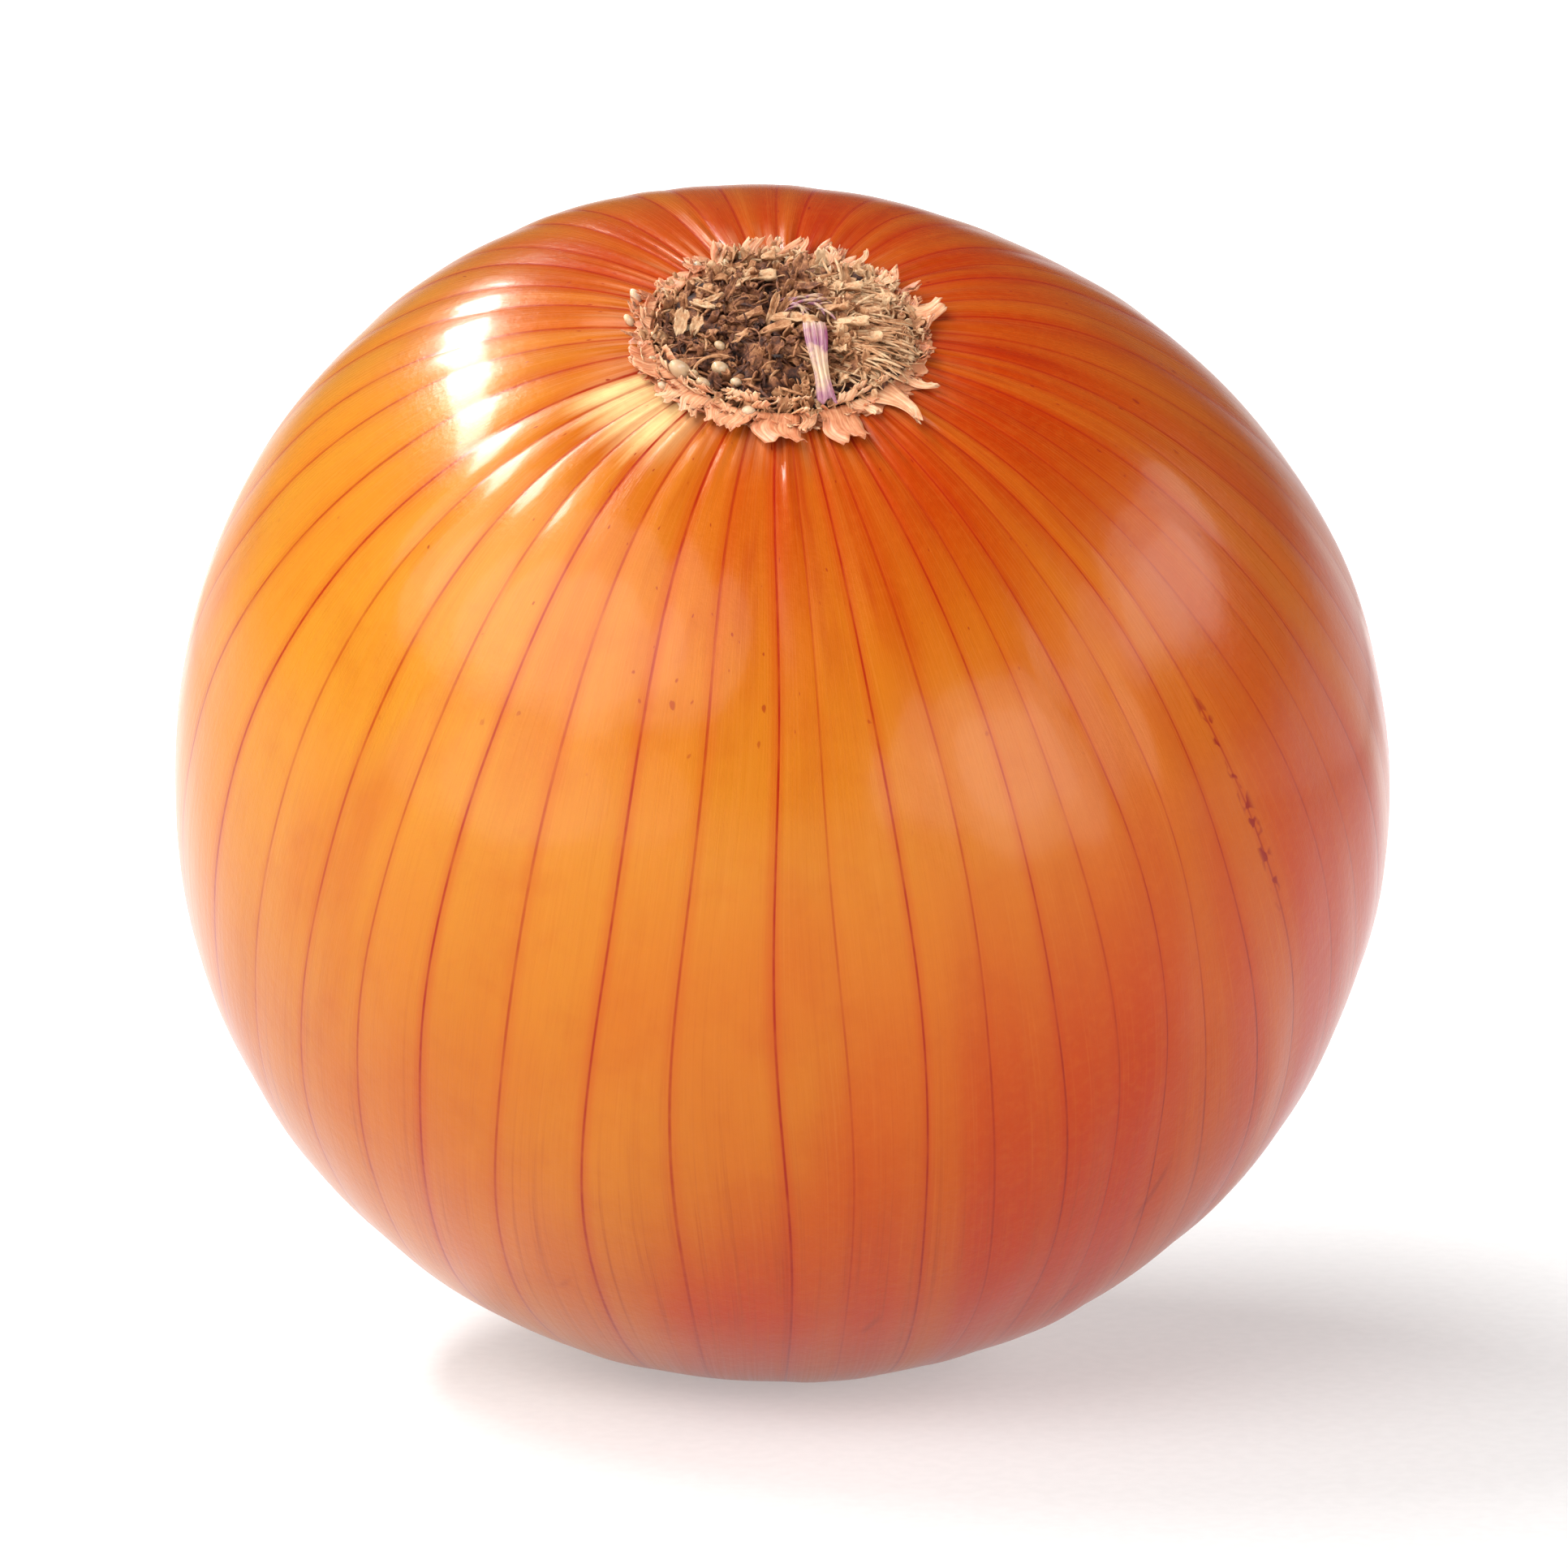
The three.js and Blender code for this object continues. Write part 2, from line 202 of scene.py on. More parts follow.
bulb = flat_sheet("onion_skin", VEINS * STEPS_PER_VEIN, SKIN_RINGS)
sheet_places = vertex_array(bulb)
vein_place = sheet_places[:, 0] * VEINS
share = sheet_places[:, 1]
parameter = 180 * crowded(share)
azimuth = np.interp(vein_place, np.arange(VEINS + 1), vein_azimuths)

# The veins wander a little, and run to a point just left of the plate's middle.
wander = np.sin(3.1 * np.radians(parameter) + 10 * np.pi * vein_place / VEINS + 0.7)
wander += 0.6 * np.sin(5.7 * np.radians(parameter) + 22 * np.pi * vein_place / VEINS + 2.1)
wander *= 0.7 * np.sin(np.radians(parameter))
drawn_aside = np.sin(np.radians(azimuth)) + 0.6 * np.cos(np.radians(azimuth))
azimuth = azimuth + wander + 2.8 * drawn_aside * bump(parameter - 10, 26)

x, y, z = grown(azimuth, parameter)
ring = np.hypot(x, y)
near_root = bump(np.maximum(0, ring - SOCKET_RADIUS), 5.5) * (z > 0)
near_neck = bump(np.maximum(0, ring - NECK_RADIUS), 9) * (z < 0)
turn = 2 * np.pi * sheet_places[:, 0]
ribs = sum(0.45 * np.cos(count * turn + phase) for count, phase in RIB_WAVES)
crown = np.abs(np.sin(np.pi * vein_place))
left_shoulder = bump(parameter - STRIP_SWELL_PARAMETER, 13) * bump(
    turned_from(STRIP_SWELL_AZIMUTH, azimuth), 42
)
fullness = np.array(strip_fullness)[np.minimum((vein_place + 0.001).astype(int), VEINS - 1)]
waves = sum(
    size * np.sin(count * turn + climb * np.radians(parameter) + phase)
    for count, climb, phase, size in SKIN_WAVES
)
relief = (ROOT_PLEATS * near_root + NECK_PLEATS * near_neck) * (ribs + 0.7 * crown - 0.4)
relief = relief + fullness * (crown - 0.02)
relief = relief + waves * np.abs(np.sin(np.radians(parameter))) ** 0.5
relief = relief + STRIP_SWELL * left_shoulder * (crown - 0.6)
outside = (ring > PLATE_RADIUS) | (z < 0)
reach = np.sqrt(ring**2 + z**2)
swollen = 1 + relief * outside / reach
x, y, z = x * swollen, y * swollen, z * swollen
z = np.where((ring < SOCKET_RADIUS - 0.2) & (z > 0), z - SOCKET_DEPTH, z)
places = in_row_frame(x, y, z)
places[:, 2] = np.maximum(places[:, 2], 0)  # the flat spot it rests on
set_vertex_array(bulb, places)
nearest_vein = np.rint(vein_place).astype(int) % VEINS
mark_vertices(bulb.data, "vein_darkness", np.array(vein_darkness)[nearest_vein])
for corner in bulb.data.uv_layers[0].data:
    corner.uv = (corner.uv[0] * VEINS, crowded(corner.uv[1]))
weld(bulb)


def linear(red, green, blue):
    """A colour of 0 to 255 per channel, as the shaders take it."""
    channels = (value / 255 for value in (red, green, blue))
    return tuple(v / 12.92 if v <= 0.04045 else ((v + 0.055) / 1.055) ** 2.4 for v in channels) + (1,)


class Shader:
    """One material, and short calls that add its nodes."""

    def __init__(self, name):
        self.material = bpy.data.materials.new(name)
        self.material.use_nodes = True
        self.tree = self.material.node_tree
        self.surface = self.tree.nodes["Principled BSDF"]

    def put(self, node, name, value):
        socket = node.inputs[name]
        if isinstance(value, bpy.types.NodeSocket):
            self.tree.links.new(value, socket)
        else:
            socket.default_value = value

    def add(self, kind, inputs=None, **settings):
        node = self.tree.nodes.new("ShaderNode" + kind)
        for name, value in settings.items():
            setattr(node, name, value)
        for name, value in (inputs or {}).items():
            self.put(node, name, value)
        return node

    def set(self, **inputs):
        """Values or links of the surface, with _ for each space in a socket's name."""
        for name, value in inputs.items():
            self.put(self.surface, name.replace("_", " "), value)

    def math(self, operation, *values):
        node = self.add("Math", operation=operation)
        for number, value in enumerate(values):
            self.put(node, number, value)
        return node.outputs[0]

    def times(self, first, second):
        return self.math("MULTIPLY", first, second)

    def plus(self, first, second):
        return self.math("ADD", first, second)

    def step(self, value, low, high, to_low=0.0, to_high=1.0):
        """Eases from to_low to to_high as value goes from low to high."""
        inputs = {"Value": value, "From Min": low, "From Max": high, "To Min": to_low, "To Max": to_high}
        return self.add("MapRange", inputs, interpolation_type="SMOOTHSTEP").outputs[0]

    def stretched(self, vector, x, y, z=1.0):
        return self.add("Mapping", {"Vector": vector, "Scale": (x, y, z)}).outputs[0]

    def noise(self, vector, scale, detail=2.0, roughness=0.5):
        inputs = {"Vector": vector, "Scale": scale, "Detail": detail, "Roughness": roughness}
        return self.add("TexNoise", inputs).outputs[0]

    def blend(self, amount, first, second):
        node = self.add("Mix", data_type="RGBA")
        self.put(node, 0, amount)
        self.put(node, 6, first)
        self.put(node, 7, second)
        return node.outputs[2]

    def ramp(self, value, stops):
        node = self.add("ValToRGB", {"Fac": value})
        band = node.color_ramp
        while len(band.elements) < len(stops):
            band.elements.new(0.5)
        for element, (place, colour) in zip(band.elements, stops):
            element.position = place
            element.color = colour
        return node.outputs[0]

    def relief(self, height, distance, strength, under=None):
        inputs = {"Height": height, "Distance": distance, "Strength": strength}
        if under:
            inputs["Normal"] = under
        return self.add("Bump", inputs).outputs[0]


skin = Shader("onion_skin")
sheet_uv = skin.add("UVMap", uv_map=bulb.data.uv_layers[0].name).outputs[0]
own_place = skin.add("TexCoord").outputs["Object"]
split = skin.add("SeparateXYZ", {"Vector": sheet_uv})
# Across counts the veins from the left, and along goes from 0 at the roots to 1 at the neck.
across, along = split.outputs[0], split.outputs[1]
side = skin.add("SeparateXYZ", {"Vector": own_place}).outputs[0]

# Ground colour: orange in the middle, redder low down and behind the plate; gold at the left (partly the
# skin's own colour, partly painted light) and darker red at the right (partly the skin's own colour,
# partly painted shade).
ground = skin.ramp(along, (
    (0.0, linear(182, 116, 60)),
    (0.08, linear(162, 78, 22)),
    (0.12, linear(162, 70, 6)),
    (0.2, linear(168, 88, 10)),
    (0.32, linear(172, 99, 24)),
    (0.43, linear(168, 71, 16)),
    (0.6, linear(168, 36, 3)),
    (0.85, linear(156, 84, 36)),
))
broad = skin.noise(skin.stretched(sheet_uv, 0.22, 3.2), 1.0, 2.0)
# Gold at the left: partly the skin's own colour, partly painted light on the lit left side.
gold_and_painted_light = skin.step(skin.plus(broad, skin.times(side, -14.0)), 0.45, 0.85)
gold_and_painted_light = skin.times(gold_and_painted_light, skin.step(along, 0.36, 0.54, 0.7, 0.5))
ground = skin.blend(gold_and_painted_light, ground, linear(180, 120, 30))
# Darker red at the right, darker still lower down at the right: partly the skin's own colour, partly
# painted shade on the side away from the key light.
red_and_painted_shade = skin.step(side, 0.002, 0.032)
ground = skin.blend(skin.times(red_and_painted_shade, 0.6), ground, linear(164, 50, 6))
low_red_and_painted_shade = skin.times(red_and_painted_shade, skin.step(along, 0.34, 0.5))
ground = skin.blend(skin.times(low_red_and_painted_shade, 0.6), ground, linear(158, 26, 1))
behind = skin.times(skin.step(across, 26.0, 31.0), skin.step(across, 46.0, 41.0))
red_side = skin.math("MAXIMUM", skin.step(side, -0.014, 0.016), behind)
red_shoulder = skin.times(skin.step(along, 0.24, 0.12), red_side)
ground = skin.blend(skin.times(red_shoulder, 0.85), ground, linear(148, 34, 1))
red = skin.step(skin.noise(skin.stretched(sheet_uv, 0.3, 2.4, 1.0), 1.7, 3.0), 0.48, 0.75)
ground = skin.blend(skin.times(red, 0.4), ground, linear(160, 46, 2))
gap_tone = skin.noise(skin.stretched(sheet_uv, 1.0, 0.9), 1.0, 0.0)
ground = skin.blend(skin.step(gap_tone, 0.35, 0.7, 0.0, 0.3), ground, linear(180, 104, 24))

# Straw-pale ribs left of the root plate: partly skin worn thin, partly painted highlight where the ribs
# glint.
rib_noise = skin.noise(skin.stretched(sheet_uv, 3.5, 9.0), 1.0, 2.0, 0.6)
# Pale straw colour here is partly the worn skin's own colour and partly a painted highlight.
worn_and_painted_highlight = skin.times(skin.step(across, 1.6, 2.6), skin.step(across, 7.2, 5.6))
worn_and_painted_highlight = skin.times(worn_and_painted_highlight, skin.step(skin.plus(along, skin.times(rib_noise, 0.05)), 0.155, 0.115))
worn_and_painted_highlight = skin.times(worn_and_painted_highlight, skin.step(rib_noise, 0.3, 0.6, 0.65, 1.0))
ground = skin.blend(worn_and_painted_highlight, ground, linear(222, 200, 138))
pinch = skin.times(skin.step(along, 0.115, 0.075), skin.step(rib_noise, 0.4, 0.65))
pinch = skin.times(pinch, skin.step(side, 0.006, -0.004, 0.25, 1.0))
ground = skin.blend(skin.times(pinch, 0.6), ground, linear(196, 132, 92))

# Fine fibres run lengthwise in the skin, which is finely gritty and faintly mottled.
fibres = skin.noise(skin.stretched(sheet_uv, 22.0, 5.0), 1.0, 3.0, 0.65)
fine = skin.noise(skin.stretched(sheet_uv, 60.0, 26.0), 1.0, 2.0, 0.7)
grit = skin.noise(own_place, 1500.0, 3.0, 0.65)
mottle = skin.noise(own_place, 260.0, 3.0, 0.6)
ground = skin.blend(skin.step(fibres, 0.5, 0.8, 0.0, 0.16), ground, linear(196, 124, 50))
ground = skin.blend(skin.step(fine, 0.55, 0.25, 0.0, 0.14), ground, linear(146, 56, 12))
ground = skin.blend(skin.step(grit, 0.4, 0.75, 0.0, 0.13), ground, linear(184, 96, 30))
ground = skin.blend(skin.step(mottle, 0.45, 0.75, 0.0, 0.14), ground, linear(150, 50, 6))

# Dark red streaks fan out round the root plate, strongest behind it and at the right.
streak_noise = skin.noise(skin.stretched(sheet_uv, 1.1, 6.0), 1.0, 3.0, 0.6)
streaks = skin.times(skin.step(streak_noise, 0.5, 0.72), skin.step(along, 0.28, 0.12))
streaks = skin.times(streaks, skin.step(side, -0.022, 0.01, 0.25, 0.7))
ground = skin.blend(streaks, ground, linear(140, 30, 3))

# Low down the skin is crossed by a fine darker hatch and a few slanting veins.
hatch = skin.noise(skin.stretched(sheet_uv, 11.0, 3.0), 1.0, 4.0, 0.75)
hatched = skin.times(skin.step(hatch, 0.5, 0.72), skin.step(along, 0.42, 0.58, 0.1, 0.5))
ground = skin.blend(hatched, ground, linear(132, 44, 12))
slant = skin.math("PINGPONG", skin.plus(skin.times(across, 0.5), skin.times(along, 7.0)), 1.0)
slant_noise = skin.noise(skin.stretched(sheet_uv, 0.9, 9.0), 1.0, 2.0)
slanting = skin.times(skin.step(slant, 0.05, 0.01), skin.step(slant_noise, 0.53, 0.62))
slanting = skin.times(slanting, skin.step(along, 0.5, 0.56, 0.0, 0.5))
ground = skin.blend(slanting, ground, linear(120, 30, 16))

# Veins: a thin dark line with a faint red edge, purple low down at the right.
nearest = skin.math("ROUND", across)
off_vein = skin.math("ABSOLUTE", skin.math("SUBTRACT", across, nearest))
strip_width = 2 * math.pi * EQUATOR_RADIUS / VEINS  # at the widest part
off_vein_mm = skin.times(off_vein, skin.times(skin.math("SINE", skin.times(along, math.pi)), strip_width))
dark = skin.add("Attribute", attribute_name="vein_darkness").outputs["Fac"]
broken = skin.noise(skin.stretched(sheet_uv, 3.0, 30.0), 1.0, 3.0, 0.6)
line_strength = skin.plus(skin.times(dark, 0.65), 0.35)
line_strength = skin.times(line_strength, skin.step(broken, 0.3, 0.6, 0.55, 1.0))
line = skin.times(skin.step(off_vein_mm, 0.14, 0.03), line_strength)
halo = skin.times(skin.step(off_vein_mm, 0.8, 0.1), skin.times(dark, 0.35))
purple = skin.times(red_and_painted_shade, skin.step(along, 0.3, 0.55))
vein_colour = skin.blend(purple, linear(138, 24, 6), linear(108, 18, 20))
skin_colour = skin.blend(halo, ground, linear(160, 36, 6))
skin_colour = skin.blend(line, skin_colour, vein_colour)

# Small dark specks, most of them on one worn vein at the right.
speck_noise = skin.noise(skin.stretched(sheet_uv, 6.0, 110.0), 1.0, 1.0)
on_worn_vein = skin.step(skin.math("ABSOLUTE", skin.plus(across, -WORN_VEIN)), 0.16, 0.03)
worn_length = skin.times(skin.step(along, 0.29, 0.32), skin.step(along, 0.44, 0.41))
specks = skin.times(skin.step(speck_noise, 0.52, 0.6), skin.times(on_worn_vein, worn_length))
stray = skin.times(skin.step(speck_noise, 0.74, 0.78), skin.step(along, 0.34, 0.2))
specks = skin.math("MAXIMUM", specks, skin.times(stray, 0.8))
skin_colour = skin.blend(specks, skin_colour, linear(128, 24, 12))

# The surface is smooth and glossy over shallow grooves, fibres and cross wrinkles.
skin.set(Base_Color=skin_colour)
groove = skin.relief(skin.step(off_vein_mm, 0.0, 0.35), 0.00003, 0.25)
grain = skin.relief(skin.plus(fibres, fine), 0.000018, 0.5, groove)
wrinkles = skin.noise(skin.stretched(sheet_uv, 2.4, 70.0), 1.0, 3.0, 0.55)
grain = skin.relief(wrinkles, 0.00003, 0.4, grain)
grain = skin.relief(grit, 0.00004, 0.6, grain)
roughness = skin.step(along, 0.2, 0.4, 0.26, 0.32)
skin.set(Roughness=skin.plus(roughness, skin.step(fibres, 0.3, 0.8, -0.03, 0.06)), Normal=grain)
skin.set(IOR=1.33, Specular_Tint=(1.0, 0.58, 0.28, 1.0))
skin.set(Coat_Weight=0.4, Coat_Roughness=0.12, Coat_IOR=1.36)
bulb.data.materials.append(skin.material)
hand_over(bulb)
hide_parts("bulb")

# Root plate.
# The corky disc that the roots grew from, sunk in the root end: a dry crumbly mass of dead root bases,
# darker in its hollows as painted shade. The roots were trimmed off it and left stubs, fibres and flakes
# behind, brown at the left and tan at the right.
RIM_HEIGHT = 38.07
PLATE_MOUND = 1.1
CRUMB_LUMPS = 230
PLATE_STEPS = (150, 60)
ROOT_STUBS = 150
ROOT_FIBRES = 420
COMBED_FIBRES = 420
CRUMB_FLAKES = 420
RIM_FLAKES = 260
FLAKE_THICKNESS = 0.07
FIBRE_SEAM = 0.0005


def skin_height(x, y):
    """Height of the skin's line over a place near the root end, in the bulb's own frame."""
    parameter = np.degrees(np.arcsin(np.clip(np.hypot(x, y) / EQUATOR_RADIUS, 0, 1)))
    return grown(np.degrees(np.arctan2(y, x)), parameter)[2]


def plate_spot(reach=1.0):
    """A random place on the plate, within a share of its radius."""
    ring, turn = reach * PLATE_RADIUS * math.sqrt(dice.random()), dice.uniform(0, 2 * math.pi)
    return ring * math.cos(turn), ring * math.sin(turn)


lumps = []
for number in range(CRUMB_LUMPS):
    x, y = plate_spot()
    lumps.append((x, y, dice.uniform(0.28, 0.75), dice.uniform(-0.75, 0.6)))


def mound_height(x, y):
    return RIM_HEIGHT + PLATE_MOUND * (1 - np.minimum(np.hypot(x, y) / PLATE_RADIUS, 1) ** 4)


def plate_height(x, y):
    """Height of the crumbly mass: a low mound, fuller at the right and lower in front."""
    x, y = np.asarray(x, float), np.asarray(y, float)
    height = mound_height(x, y)
    height = height + 0.8 * bump(np.hypot((x - 5) / 2.8, (y + 1) / 2.8), 1) - 0.5 * bump(y + 8.5, 2.5)
    for lump_x, lump_y, reach, rise in lumps:
        height = height + rise * bump(np.hypot(x - lump_x, y - lump_y), reach)
    return height


def sheet_grid(across, along):
    """A sheet to copy, with its vertices' places across, from -1 to 1, and along, from 0 to 1."""
    sheet = flat_sheet("template", across, along)
    places = vertex_array(sheet)
    return sheet, 2 * places[:, 0] - 1, places[:, 1]


def copies_of(template, name, copies, tones):
    """One object with a copy of the template at each array of places, each with a tone from 0 to 1."""
    faces = [tuple(face.vertices) for face in template.data.polygons]
    size = len(template.data.vertices)
    every_face = [
        tuple(number * size + corner for corner in face)
        for number in range(len(copies))
        for face in faces
    ]
    mesh = bpy.data.meshes.new(name)
    mesh.from_pydata(in_row_frame(*np.concatenate(copies).T).tolist(), [], every_face)
    corners = np.zeros(2 * len(template.data.loops), np.float32)
    template.data.uv_layers[0].data.foreach_get("uv", corners)
    mesh.uv_layers.new(name="UVMap").data.foreach_set("uv", np.tile(corners, len(copies)))
    mark_vertices(mesh, "tone", np.repeat(tones, size))
    bpy.data.objects.remove(template)
    piece = bpy.data.objects.new(name, mesh)
    bpy.context.scene.collection.objects.link(piece)
    return piece


def tube(around, along, path, radius):
    """Places of a sheet rolled round a path of (x, y, z) arrays, with a radius at each place along."""
    step = 0.01
    x, y, z = path(along)
    next_x, next_y, next_z = path(along + step)
    heading = np.arctan2(next_y - y, next_x - x)
    pitch = np.arctan2(next_z - z, np.hypot(next_x - x, next_y - y))
    turn = np.pi * around
    sideways, upward = radius * np.cos(turn), radius * np.sin(turn)
    x = x - sideways * np.sin(heading) - upward * np.sin(pitch) * np.cos(heading)
    y = y + sideways * np.cos(heading) - upward * np.sin(pitch) * np.sin(heading)
    return np.stack((x, y, z + upward * np.cos(pitch)), axis=-1)


def laid(x, y, heading, forward, side, height):
    """Places of a sheet that starts from (x, y) and runs forward along a heading."""
    return np.stack((
        x + forward * math.cos(heading) - side * math.sin(heading),
        y + forward * math.sin(heading) + side * math.cos(heading),
        height,
    ), axis=-1)


plate = flat_sheet("root_plate_mass", *PLATE_STEPS)
sheet_places = vertex_array(plate)
turn = 2 * math.pi * sheet_places[:, 0]
ring = PLATE_RADIUS * np.minimum(1, sheet_places[:, 1] / 0.94)
x, y = ring * np.cos(turn), ring * np.sin(turn)
under_rim = sheet_places[:, 1] > 0.95
z = np.where(under_rim, RIM_HEIGHT - SOCKET_DEPTH + 0.3, plate_height(x, y))
set_vertex_array(plate, in_row_frame(x, y, z))
# Painted shade: the mass is darker the lower it lies, so its hollows and the part under the rim are dark;
# it is also tan towards the right.
hollow_shade_and_tone = np.clip(0.42 + 0.45 * (z - RIM_HEIGHT - PLATE_MOUND), 0, 0.6) + 0.1 * np.clip(x / 8, 0, 1)
mark_vertices(plate.data, "tone", hollow_shade_and_tone)
weld(plate)


def dryness(x, y):
    """Tone of a crumb where it lies: dark in the middle and at the left, tan at the right and the rim."""
    ring = math.hypot(x, y) / PLATE_RADIUS
    to_right = max(0.0, min(1.0, (x + 0.5) / 3.5))
    to_back = max(0.0, min(1.0, (y - 1) / 4))
    return min(1.0, 0.18 + 0.34 * ring**3 + 0.36 * to_right + 0.14 * to_back + dice.uniform(-0.14, 0.34))


# Stubs of trimmed roots, with hollow cut ends.
stub, around, along = sheet_grid(9, 12)
copies, tones = [], []
stub_radius = np.interp(along, (0, 0.08, 0.5, 0.68, 0.76, 0.86, 1), (0, 1, 0.8, 0.86, 0.7, 0.45, 0))
stub_height = np.interp(along, (0, 0.08, 0.68, 0.76, 1), (0, 0.02, 1, 1, 0.8))
for number in range(ROOT_STUBS):
    x, y = plate_spot(0.93)
    length, radius = dice.uniform(0.5, 1.15), dice.uniform(0.2, 0.42)
    lean, heading = dice.uniform(0, 0.9), dice.uniform(0, 2 * math.pi)
    rise = stub_height * length
    ripple = 1 + 0.12 * np.sin(3 * np.pi * around + 5 * along + number)
    flat = radius * stub_radius * ripple
    foot = float(plate_height(x, y)) - 0.3
    copies.append(np.stack((
        x + flat * np.cos(np.pi * around) + rise * math.sin(lean) * math.cos(heading),
        y + flat * np.sin(np.pi * around) + rise * math.sin(lean) * math.sin(heading),
        foot + rise * math.cos(lean) + flat * np.sin(np.pi * around) * math.sin(lean) * 0.4,
    ), axis=-1))
    tones.append(dryness(x, y))
stubs = copies_of(stub, "root_stubs", copies, tones)
weld(stubs)

# Fibres: some lie anyhow, and those at the right are combed towards the rim.
fibre, around, along = sheet_grid(5, 9)
thickness = np.minimum(1, 6 * np.minimum(along + 0.02, 1 - along))
copies, tones = [], []
for number in range(ROOT_FIBRES + COMBED_FIBRES):
    combed = number >= ROOT_FIBRES
    if combed:
        x, y = dice.uniform(0.5, 6), dice.uniform(-4.5, 5.5)
        heading = math.radians(dice.gauss(-20, 13))
        length = dice.uniform(1.4, 3.6)
    else:
        x, y = plate_spot(0.9)
        heading = dice.uniform(0, 2 * math.pi)
        length = dice.uniform(0.7, 2.6)
    loose = 0.35 if combed else 1.0
    bend, arch = loose * dice.uniform(-0.9, 0.9), loose * dice.uniform(0.05, 0.4)
    tip_rise = loose * dice.uniform(0, 0.5) ** 2
    start = float(plate_height(x, y))

    def path(t):
        along_x = x + length * t * np.cos(heading + bend * t)
        along_y = y + length * t * np.sin(heading + bend * t)
        drop = np.maximum(0, np.hypot(along_x, along_y) - PLATE_RADIUS + 0.6)
        lifted = arch * np.sin(np.pi * np.clip(t, 0, 1)) + tip_rise * length * t**2
        return along_x, along_y, start + lifted - 0.35 * drop

    copies.append(tube(around, along, path, dice.uniform(0.045, 0.12) * thickness))
    tones.append(min(1.0, dryness(x, y) + 0.12))
fibres = copies_of(fibre, "root_fibres", copies, tones)
weld(fibres, FIBRE_SEAM)

# Flakes: small crumpled sheets that stand every way, and some larger scraps that lie nearly flat.
# Each larger scrap: place, heading in degrees, length, half width, lean, tone.
NAMED_SCRAPS = (
    (-1.7, 5.3, -8, 3.0, 0.55, 0.1, 1.0), (-2.8, 4.7, 20, 1.4, 0.4, 0.3, 0.9),
    (1.2, 5.6, 75, 2.1, 0.5, 0.5, 0.5), (-0.9, 7.3, 0, 1.1, 0.35, 0.1, 0.85),
    (-2.7, 7.2, 10, 0.9, 0.35, 0.1, 0.8), (-4.4, 6.0, 30, 1.2, 0.4, 0.2, 0.62),
    (-5.2, 1.8, -30, 1.9, 0.25, 0.2, 1.0), (-4.6, 2.3, 25, 1.7, 0.2, 0.3, 0.95),
    (-0.6, 0.6, 70, 2.4, 0.25, 0.7, 0.8), (0.4, 1.2, 55, 2.0, 0.3, 0.5, 0.66),
    (-2.1, 0.4, 15, 2.0, 0.35, 0.2, 0.6), (0.6, -0.4, -5, 3.0, 0.4, 0.1, 0.9),
    (-0.4, -1.2, 5, 2.4, 0.35, 0.3, 0.7), (-4.7, -1.6, -40, 1.1, 0.5, 0.8, 0.5),
    (-6.6, -0.4, 75, 1.5, 0.45, 0.9, 0.95), (-5.6, -0.6, 60, 1.1, 0.4, 0.8, 0.9),
    (-0.4, -3.4, 40, 1.1, 0.55, 0.9, 0.4), (-2.8, -2.0, 10, 1.3, 0.4, 0.4, 0.8),
    (4.2, 3.6, -15, 2.6, 0.4, 0.2, 0.8), (5.4, 1.2, -20, 2.8, 0.45, 0.2, 0.9),
    (4.6, -1.4, -30, 2.6, 0.5, 0.3, 0.95), (5.8, -2.6, -45, 2.2, 0.5, 0.4, 0.9),
    (3.4, 0.4, -20, 2.2, 0.35, 0.3, 0.8), (6.8, 2.4, -25, 2.0, 0.4, 0.3, 0.85),
    (3.6, -3.4, -60, 1.8, 0.45, 0.5, 0.85), (1.8, 3.0, -10, 2.0, 0.3, 0.3, 0.45),
    (-3.4, 3.2, 60, 1.6, 0.3, 0.6, 0.4),
)
flake, around, along = sheet_grid(6, 6)
copies, tones = [], []
for number in range(CRUMB_FLAKES + RIM_FLAKES):
    x, y = plate_spot(0.95)
    if number >= CRUMB_FLAKES:
        ring, turn = dice.uniform(8.0, 9.2), dice.uniform(0, 2 * math.pi)
        x, y = ring * math.cos(turn), ring * math.sin(turn)
    heading, lean = dice.uniform(0, 2 * math.pi), dice.uniform(0.1, 1.5)
    length, width = dice.uniform(0.5, 1.3), dice.uniform(0.2, 0.55)
    curl, cup = dice.uniform(-1.4, 1.4), dice.uniform(-0.3, 0.3)
    side = around * width * (1 - 0.55 * along**2) * (1 + 0.25 * np.sin(9 * along + number))
    notch = 1 - 0.3 * np.sin(4 * around + 2 * number) ** 2
    forward = length * along * notch * np.cos(lean + curl * along)
    upward = length * along * np.sin(lean + curl * along) + cup * around**2
    foot = float(plate_height(x, y)) - 0.1
    copies.append(laid(x, y, heading, forward, side, np.maximum(foot - 0.1, foot + upward)))
    tones.append(dryness(x, y))
for x, y, heading, length, width, lean, tone in NAMED_SCRAPS:
    heading = math.radians(heading)
    side = around * width * (1 - 0.4 * (2 * along - 1) ** 2) * (1 + 0.2 * np.sin(11 * along + x))
    forward = length * (along - 0.5) * (1 - 0.25 * np.sin(5 * around + y) ** 2)
    upward = length * along * math.sin(lean) + 0.16 * np.sin(6 * around + 4 * along + x) + 0.25 * around**2
    foot = float(plate_height(x, y)) + 0.25
    copies.append(laid(x, y, heading, forward, side, foot + upward))
    tones.append(tone)
flakes = copies_of(flake, "root_flakes", copies, tones)


def thicken(piece, thickness):
    """Gives a sheet a thickness in mm."""
    select_only(piece)
    solidify = piece.modifiers.new("thickness", "SOLIDIFY")
    solidify.thickness = thickness * MM
    solidify.offset = 0
    bpy.ops.object.modifier_apply(modifier=solidify.name)


thicken(flakes, FLAKE_THICKNESS)

